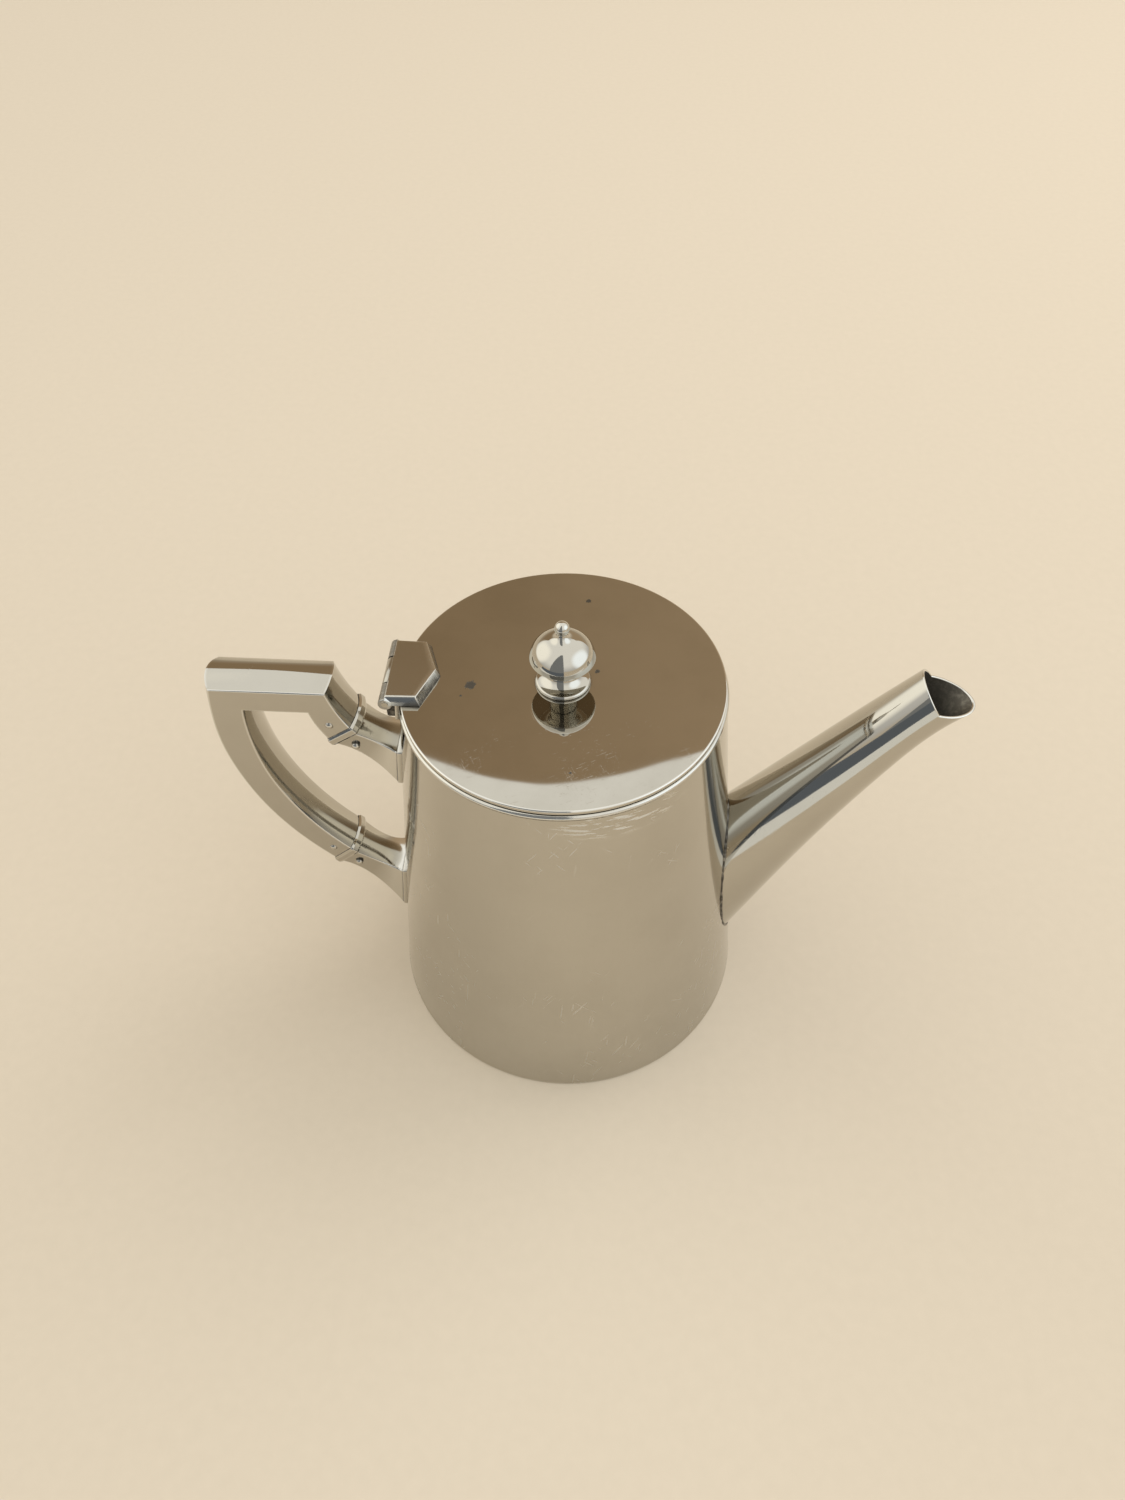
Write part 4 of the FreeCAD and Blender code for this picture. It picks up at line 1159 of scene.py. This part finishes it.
def finial_sheet():
    """Turned finial: a profile of arcs, each standing off its chord by its hollow or swell."""
    flare_top = FOOT_HEIGHT + FLARE_HEIGHT
    cap_under = flare_top + STEM_HEIGHT
    cap_edge = cap_under + CAP_EDGE_HEIGHT
    cap_top = cap_edge + CAP_RISE
    neck_top = cap_top + NECK_RISE
    ball = neck_top + math.sqrt(BALL_RADIUS ** 2 - NECK_RADIUS ** 2)
    bead = FOOT_HEIGHT / 2
    lowest = -math.degrees(math.acos(NECK_RADIUS / BALL_RADIUS))
    under_cap = [STEM_RADIUS + step for step in UNDER_CAP_ROWS] + [CAP_RADIUS - CAP_EDGE - CAP_FIRST_ROW]
    profile = np.concatenate([
        [[0, STUD_END], [STUD_RADIUS - STUD_EASE, STUD_END], [STUD_RADIUS, STUD_END + STUD_EASE]],
        [[STUD_RADIUS, 0]],
        bowed((FOOT_RADIUS - bead, 0), (FOOT_RADIUS - bead, FOOT_HEIGHT), -bead * BEAD_FULLNESS, steps=17),
        bowed((FOOT_RADIUS - bead, FOOT_HEIGHT), (STEM_RADIUS, flare_top), FLARE_HOLLOW, steps=22)[1:],
        [[STEM_RADIUS, cap_under - STEM_LAST_ROW]],
        [[radius, cap_under] for radius in under_cap],
        bowed((CAP_RADIUS - CAP_EDGE, cap_under), (CAP_RADIUS, cap_edge), -CAP_EDGE_SWELL, steps=8),
        bowed((CAP_RADIUS, cap_edge), (CAP_SHOULDER, cap_top), -CAP_SWELL, steps=28)[1:],
        bowed((CAP_SHOULDER, cap_top), (NECK_RADIUS, neck_top), NECK_HOLLOW, steps=12)[1:],
        arc((0, ball), BALL_RADIUS, lowest, 90, steps=28)[1:],
    ])
    height = profile[:, 1]
    # Rubbed on the foot's bead, the cap's edge and the ball; dirt under the foot, the ball and the cap
    worn = np.interp(height, [0, 0.3, 0.7, 1.2, cap_under, cap_edge, cap_edge + 0.3, ball, ball + 2],
                     [0, 0.2, 0.8, 0.1, 0.0, 0.2, 0.0, 0.2, 0.5])
    grime_and_shade = np.interp(height, [0, 0.2, neck_top - 0.25, neck_top, neck_top + 0.2],
                      [0.7, 0.0, 0.0, 0.5, 0.0])
    corner = np.hypot(profile[:, 0] - STEM_RADIUS, height - cap_under)
    grime_and_shade = np.maximum(grime_and_shade, 0.5 * np.exp(-(corner / GRIME_REACH) ** 2))
    profile[:, 1] += LID_TOP
    return sheet(lathe(profile, FINIAL_AROUND), (True, False), worn[None, :], grime_and_shade[None, :])


COVER_TOP = LID_TOP + COVER_RISE


def cover_profile(way, back):
    """Cover's outline (x, z) at a share of the way to its side: the sloped front, which stands on the
    pointed plan, a small round, the flat top and then the given back."""
    nose = HINGE_X + COVER_SHOULDER + COVER_NOSE * (1 - abs(way))
    flat_end = HINGE_X + COVER_FLAT_END
    corners = [(nose, LID_TOP, 0), (nose - COVER_SLOPE, COVER_TOP, COVER_EASE), (flat_end, COVER_TOP, 0)]
    front, _ = rounded(corners, COVER_STEPS, support=0.12)
    along = np.linspace(front[-2, 0], flat_end, COVER_FLAT_STEPS)[1:]
    flat = np.stack([along, np.full(len(along), COVER_TOP)], -1)
    return np.concatenate([front[:-1], flat, back])


def drawn_in(points, amount):
    """Outline drawn in along its own normals."""
    along = unit(np.roll(points, -1, 0) - np.roll(points, 1, 0))
    return points + np.stack([-along[:, 1], along[:, 0]], -1) * amount


def cover_sheet():
    """Pointed hinge cover: an XZ profile carried across in Y.

    The profile runs up the sloped front, over a small round, back along the top and round the
    barrel. Front and sides lean in evenly with height, the front follows the pointed plan, and in
    the middle the barrel gives way to a round hollow for the knuckle of the leaf.
    """
    room = BARREL_RADIUS + KNUCKLE_GAP
    drop = HINGE_Z - LID_TOP
    hinge = (HINGE_X, HINGE_Z)
    roll_end = 360 - math.degrees(math.asin(drop / BARREL_RADIUS))
    hollow_end = -math.degrees(math.asin(drop / room))
    backs = []
    for ease, radius, end in ((COVER_BACK_ROUND, BARREL_RADIUS, roll_end),
                              (COVER_HOLLOW_ROUND, room, hollow_end)):
        corner = arc((HINGE_X + ease, COVER_TOP - ease), ease, 90, 180, COVER_STEPS)
        backs.append(np.concatenate([corner, arc(hinge, radius, 90, end, BARREL_STEPS)]))
    roll, hollow = backs

    half_barrel = BARREL_LENGTH / 2
    slot = (MIDDLE_KNUCKLE / 2 + KNUCKLE_GAP) / half_barrel
    half = []
    for bend in np.radians(np.linspace(0, 90, COVER_STEPS)):
        way = 1 - COVER_EASE / half_barrel * (1 - math.cos(bend))
        half.append((way, drawn_in(cover_profile(way, roll), COVER_EASE * (1 - math.sin(bend)))))
    half += [(way, cover_profile(way, roll)) for way in np.linspace(COVER_FIRST_LINE, slot, COVER_LINES)]
    half += [(way, cover_profile(way, hollow)) for way in np.linspace(slot, 0, HOLLOW_LINES)]
    lines = half + [(-way, points) for way, points in half[-2::-1]]
    ways = np.array([way for way, _ in lines])[:, None]
    x, z = np.moveaxis(np.array([points for _, points in lines]), -1, 0)

    lean = COVER_SLOPE * np.clip((z - LID_TOP) / COVER_RISE, 0, 1)
    taper = (COVER_BACK_WIDTH - COVER_SHOULDER_WIDTH) / 2 / (COVER_SHOULDER + BARREL_RADIUS)
    side = COVER_BACK_WIDTH / 2 - taper * (x - HINGE_X + BARREL_RADIUS) - lean
    barrel = np.arange(x.shape[1]) >= x.shape[1] - BARREL_STEPS
    points = capped(np.stack([x, ways * np.where(barrel, half_barrel, side), z], -1))
    worn = np.zeros(points.shape[:2])
    worn[:, 1:COVER_STEPS + 3] = COVER_FRONT_WORN
    worn[1:COVER_STEPS + 1] = worn[-COVER_STEPS - 1:-1] = COVER_SIDE_WORN
    grime_and_shade = np.zeros(points.shape[:2])
    grime_and_shade[:, 0] = COVER_FOOT_GRIME
    # The cover's barrel and the hollow under it are made darker
    grime_and_shade[:, barrel] = BARREL_DARKENING
    return sheet(points, (False, True), worn, grime_and_shade)


def leaf_plate():
    """Plate of the hinge leaf: a rounded rectangle in (y, z) laid on the cone of the wall.

    Each row has a share of the outline, a stand off the wall, and its rubbed and grimy shares.
    """
    high, low, half = WALL_HEIGHT, WALL_HEIGHT - LEAF_HEIGHT, LEAF_WIDTH / 2
    outline, _ = rounded([(-half, low, LEAF_CORNER), (half, low, LEAF_CORNER),
                          (half, high, LEAF_TOP_CORNER), (-half, high, LEAF_TOP_CORNER)],
                         steps=8, support=0.3)
    middle = np.array([0.0, (low + high) / 2])
    rows = [(share, LEAF_THICKNESS, 0.0, 0.0) for share in LEAF_FACE_SHARES]
    rows += [(LEAF_EDGE_SHARE, LEAF_THICKNESS - LEAF_FIRST_EASE, LEAF_EDGE_WORN, 0.0),
             (1.0, LEAF_THICKNESS - LEAF_EASE, LEAF_SIDE_WORN, 0.0),
             (1.0, LEAF_EASE, 0.0, LEAF_SIDE_GRIME),
             (1.0, -SINK, 0.0, LEAF_SIDE_GRIME),
             (0.0, -SINK, 0.0, 0.0)]
    share, stand, worn, grime_and_shade = (column[:, None] for column in np.array(rows).T)
    flat = middle + (outline - middle) * share[:, None]
    x = -np.sqrt((wall_radius(flat[..., 1]) + stand) ** 2 - flat[..., 0] ** 2)
    return sheet(np.stack([x, flat[..., 0], flat[..., 1]], -1), (False, True), worn, grime_and_shade)


def leaf_web():
    """Web of the hinge leaf: an outline in (x, z) with the knuckle's circle at its top, carried
    across in Y, whose ends are eased by drawing the outline in towards its middle."""
    high, low = WALL_HEIGHT, WALL_HEIGHT - LEAF_HEIGHT
    left = HINGE_X - BARREL_RADIUS
    right = left + WEB_THICKNESS
    inside = -(wall_radius(low) - SINK)
    bend = math.degrees(math.acos((right - HINGE_X) / BARREL_RADIUS))
    knuckle = arc((HINGE_X, HINGE_Z), BARREL_RADIUS, 180, -bend, KNUCKLE_STEPS)
    outline = np.concatenate([[[left, low + WEB_CORNER], [left, (low + HINGE_Z) / 2]], knuckle,
                              [[right, high + WEB_EASE], [right, high], [inside, high], [inside, low],
                               [left + WEB_CORNER, low]]])
    from_end = np.array([0.0, WEB_FIRST_EASE, WEB_EASE])
    lines = np.concatenate([from_end - MIDDLE_KNUCKLE / 2, MIDDLE_KNUCKLE / 2 - from_end[::-1]])
    shrink = np.concatenate([[WEB_EASE, WEB_FIRST_EASE, 0.0], [0.0, WEB_FIRST_EASE, WEB_EASE]])
    away = unit(outline - np.array([HINGE_X + WEB_HUB[0], HINGE_Z + WEB_HUB[1]]))
    drawn = outline - away * shrink[:, None, None]
    points = np.stack([drawn[..., 0], np.broadcast_to(lines[:, None], drawn.shape[:2]), drawn[..., 1]], -1)
    grime_and_shade = np.full(len(lines) + 2, WEB_GRIME)
    # Painted shade: the web's two ends, seen through the slot under the cover, are painted almost black
    grime_and_shade[:2] = grime_and_shade[-2:] = WEB_END_PAINTED_SHADE
    return sheet(capped(points), (False, True), 0.0, grime_and_shade[:, None])


# Pieces

piece("pot_wall", "pot", POT_SILVER, body_sheets(), ("body_shell",), joined=True)
piece("pot_bottom", "pot", INSIDE_SILVER, [base_sheet()], ("base_plate",))
piece("pot_rim", "pot", POT_SILVER, [rim_sheet()], ("mouth_rim",))
piece("spout_tube", "pot", SPOUT_SILVER, [spout_sheet()], ("spout",))
piece("spout_seam", "pot", SPOUT_SILVER, [seam_sheet()])
for label, joint, waist, depth, pad in (("upper", UPPER, UPPER_SOCKET_WAIST, LEG_DEPTH, UPPER_PAD),
                                        ("lower", LOWER, LOWER_SOCKET_WAIST, BOW_END_DEPTH, LOWER_PAD)):
    piece(label + "_pad", "pot", HANDLE_SILVER, [pad_sheet(pad)], (label + "_socket_pad",))
    piece(label + "_arm", "pot", HANDLE_SILVER, [socket_sheet(joint, waist, pad)], (label + "_socket",))
    piece(label + "_band", "pot", HANDLE_SILVER, [collar_sheet(joint, depth)], (label + "_collar",))
    piece(label + "_grip_rivet", "pot", HANDLE_SILVER, [pin_sheet(joint, -1)], (label + "_grip_pin",))
    piece(label + "_socket_rivet", "pot", HANDLE_SILVER, [pin_sheet(joint, 1)], (label + "_socket_pin",))
piece("grip", "pot", HANDLE_SILVER, [grip_sheet()], ("handle_grip",))
piece("hinge_plate", "pot", HINGE_SILVER, [leaf_plate(), leaf_web()], ("hinge_leaf",))
piece("lid_disc", "lid", LID_SILVER, [lid_sheet()], ("lid_plate",))
piece("lid_bezel", "lid", INSIDE_SILVER, [flange_sheet()], ("lid_flange",))
piece("hinge_cap", "lid", HINGE_SILVER, [cover_sheet()], ("hinge_cover",))
piece("finial", "lid", FINIAL_SILVER, [finial_sheet()], ("finial_knob",))
piece("washer", "lid", INSIDE_SILVER, [washer_sheet()], ("finial_washer",))

# Nodes whose solids stay, with new finishes
for label, finish in (("upper_tenon", FIBRE), ("lower_tenon", FIBRE), ("hinge_pin", HINGE_SILVER),
                      ("finial_nut", INSIDE_SILVER)):
    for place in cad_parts[label].material_slots:
        place.material = finish


# Floor, light and camera, in metres

FLOOR_HALF = 4.0
FLOOR_LEVEL = -0.00005

# Studio: its far ceiling edge, its tones, and its windows' directions and tones
LEAST_RISE = 0.03
EDGE_MIDDLE = -0.10
EDGE_BEND = 2.6
EDGE_SPREAD = 0.3
EDGE_PLACE = (0.789, 0.794)
BACK_LEFT = (0.36, 0.255, 0.15, 1.0)
BACK_RIGHT = (0.50, 0.37, 0.235, 1.0)
BACK_LOW = (0.56, 0.48, 0.375, 1.0)
BACK_TURN = (-0.35, 0.35)
BACK_FADE = (0.0, 0.40)
FRONT_LOW = (0.66, 0.655, 0.635, 1.0)
FRONT_HIGH = (1.14, 1.13, 1.07, 1.0)
FRONT_FADE = (0.0, 0.6)
WINDOWS = (((0.88, -0.18, 0.44), (1.50, 1.61, 1.69, 1.0)),
           ((-0.85, 0.18, 0.50), (1.50, 1.47, 1.34, 1.0)))
WINDOW_EDGE = (0.78, 0.95)
BACKDROP = (0.73, 0.63, 0.48, 1.0)
BACKDROP_FADE = (0.04, 0.16)

# Cards in front of the pot: the white one lies flat, the dark one stands on its outer edge, and the
# leaning one goes on up from there and in towards the pot, narrowing towards the top
CARD_LEVEL = 0.0005
CARD_OUTER = -0.46
WHITE_CARD_INNER = -0.20
WHITE_CARD_HALF = 0.8
WHITE_CARD_TONE = (1.02, 1.01, 0.94, 1.0)
DARK_CARD_LEFT = -0.95
DARK_CARD_RIGHT = 0.06
DARK_CARD_LEFT_TOP = 0.16
DARK_CARD_TOP = 0.14
DARK_CARD_TONE = (0.15, 0.17, 0.195, 1.0)
LEANING_CARD_LEFT = -0.36
LEANING_CARD_TOP = (-0.12, 0.80)
LEANING_CARD_TOP_SIDES = (-0.04, 0.02)
LEANING_CARD_TONE = (0.27, 0.28, 0.285, 1.0)

LAMP_PLACE = np.array([0.85, 0.75, 1.25])
LAMP_SIZE = 1.1
LAMP_POWER = 6.0

# Camera: its place, its directions, and its field of view as a focal length in the photo's pixels
CAMERA_PLACE = np.array([0.0164, -0.1992, 0.3331])
CAMERA_RIGHT = np.array([0.99764, 0.06731, -0.01488])
CAMERA_DOWN = np.array([0.04190, -0.76300, -0.64500])
SENSOR = 36.0
FOCAL_PIXELS = 1127
PHOTO_HEIGHT = 1500
CLIP_START = 0.01


def staged(name, corners, finish, only_mirrored=False):
    """Flat four-cornered piece of the stage, which may show in polished surfaces only."""
    mesh = bpy.data.meshes.new(name)
    mesh.from_pydata(corners, [], [(0, 1, 2, 3)])
    mesh.materials.append(finish)
    made = bpy.data.objects.new(name, mesh)
    bpy.context.scene.collection.objects.link(made)
    if only_mirrored:
        made.visible_camera = made.visible_diffuse = made.visible_shadow = False


def mirrored_card(name, corners, tone):
    """Flat card in front of the pot, out of the picture, that only shows in polished surfaces."""
    finish = new_finish(name)
    glow = node(finish.node_tree, "ShaderNodeEmission", {"Color": tone, "Strength": 1.0})
    node(finish.node_tree, "ShaderNodeOutputMaterial", {"Surface": glow.outputs["Emission"]})
    staged(name, corners, finish, only_mirrored=True)


def floor():
    """Wide flat floor just under the pot."""
    corners = [(-FLOOR_HALF, -FLOOR_HALF), (FLOOR_HALF, -FLOOR_HALF), (FLOOR_HALF, FLOOR_HALF),
               (-FLOOR_HALF, FLOOR_HALF)]
    staged("floor", [(x, y, FLOOR_LEVEL) for x, y in corners], floor_finish())


def cards():
    """The three cards, each by its corners."""
    mirrored_card("white_card", [(-WHITE_CARD_HALF, WHITE_CARD_INNER, CARD_LEVEL),
                                 (-WHITE_CARD_HALF, CARD_OUTER, CARD_LEVEL),
                                 (WHITE_CARD_HALF, CARD_OUTER, CARD_LEVEL),
                                 (WHITE_CARD_HALF, WHITE_CARD_INNER, CARD_LEVEL)], WHITE_CARD_TONE)
    mirrored_card("dark_card", [(DARK_CARD_LEFT, CARD_OUTER, CARD_LEVEL),
                                (DARK_CARD_RIGHT, CARD_OUTER, CARD_LEVEL),
                                (DARK_CARD_RIGHT, CARD_OUTER, DARK_CARD_TOP),
                                (DARK_CARD_LEFT, CARD_OUTER, DARK_CARD_LEFT_TOP)], DARK_CARD_TONE)
    left, right = LEANING_CARD_TOP_SIDES
    mirrored_card("leaning_card", [(LEANING_CARD_LEFT, CARD_OUTER, DARK_CARD_TOP),
                                   (DARK_CARD_RIGHT, CARD_OUTER, DARK_CARD_TOP),
                                   (right, *LEANING_CARD_TOP), (left, *LEANING_CARD_TOP)],
                  LEANING_CARD_TONE)


def studio():
    """Studio by direction: a bright ceiling and front, a brown back and two windows.

    A direction's place on the ceiling is its x and y over its z. The ceiling's far edge is a square
    curve that runs into straight lines at the sides, and each window is a soft patch about its own
    direction. A plain backdrop in the floor's tone hides all this from the camera, and polished
    surfaces show its low part too.
    """
    world = bpy.data.worlds.new("studio")
    bpy.context.scene.world = world
    world.use_nodes = True
    tree = world.node_tree
    tree.nodes.clear()
    way = node(tree, "ShaderNodeTexCoord").outputs["Generated"]
    x, y, z = node(tree, "ShaderNodeSeparateXYZ", {"Vector": way}).outputs
    rise = maths(tree, "MAXIMUM", z, LEAST_RISE)
    u, v = maths(tree, "DIVIDE", x, rise), maths(tree, "DIVIDE", y, rise)
    off = maths(tree, "ABSOLUTE", maths(tree, "SUBTRACT", u, EDGE_MIDDLE))
    square = maths(tree, "MULTIPLY", maths(tree, "MULTIPLY", off, off), EDGE_BEND)
    straight = maths(tree, "ADD", maths(tree, "MULTIPLY", off, 1 / EDGE_SPREAD), 1.0)
    past = maths(tree, "SUBTRACT", v, maths(tree, "DIVIDE", square, straight))
    ceiling = ramp(tree, past, *EDGE_PLACE, 1.0, 0.0)
    back = blended(tree, ramp(tree, u, *BACK_TURN), BACK_LEFT, BACK_RIGHT)
    back = blended(tree, ramp(tree, z, *BACK_FADE), BACK_LOW, back)
    front = blended(tree, ramp(tree, z, *FRONT_FADE), FRONT_LOW, FRONT_HIGH)
    lit = blended(tree, ceiling, back, front)
    for direction, tone in WINDOWS:
        facing = vector_maths(tree, "DOT_PRODUCT", way, direction, "Value")
        lit = blended(tree, ramp(tree, facing, *WINDOW_EDGE), lit, tone)
    ray = node(tree, "ShaderNodeLightPath").outputs
    mirrored = maths(tree, "MAXIMUM", ray["Is Glossy Ray"], ray["Is Transmission Ray"])
    mirrored = maths(tree, "MULTIPLY", mirrored, ramp(tree, z, *BACKDROP_FADE, 1.0, 0.0))
    lit = blended(tree, maths(tree, "MAXIMUM", ray["Is Camera Ray"], mirrored), lit, BACKDROP)
    background = node(tree, "ShaderNodeBackground", {"Color": lit, "Strength": 1.0})
    node(tree, "ShaderNodeOutputWorld", {"Surface": background.outputs["Background"]})


def placed(name, data, right, up, place):
    """Object whose axes point right and up, and whose third axis points back from what it faces."""
    made = bpy.data.objects.new(name, data)
    bpy.context.scene.collection.objects.link(made)
    axes = np.stack([right, up, np.cross(right, up), place], 1)
    made.matrix_world = Matrix([*axes.tolist(), [0, 0, 0, 1]])
    return made


def lamp():
    """Large soft lamp behind and to the right, for a faint shadow to the lower left."""
    data = bpy.data.lights.new("soft_lamp", "AREA")
    data.shape = "DISK"
    data.size = LAMP_SIZE
    data.energy = LAMP_POWER
    back = unit(LAMP_PLACE)
    right = unit(np.cross([0.0, 0.0, 1.0], back))
    made = placed("soft_lamp", data, right, np.cross(back, right), LAMP_PLACE)
    made.visible_glossy = False


def camera():
    """Camera at the photograph's place: its right and up directions, its lens from the field of view."""
    data = bpy.data.cameras.new("camera")
    data.sensor_width = SENSOR
    data.lens = SENSOR * FOCAL_PIXELS / PHOTO_HEIGHT
    data.clip_start = CLIP_START
    right = unit(CAMERA_RIGHT)
    up = unit(-CAMERA_DOWN + right * (CAMERA_DOWN @ right))
    bpy.context.scene.camera = placed("camera", data, right, up, CAMERA_PLACE)


floor()
studio()
cards()
lamp()
camera()
bpy.context.scene.view_settings.view_transform = "Standard"
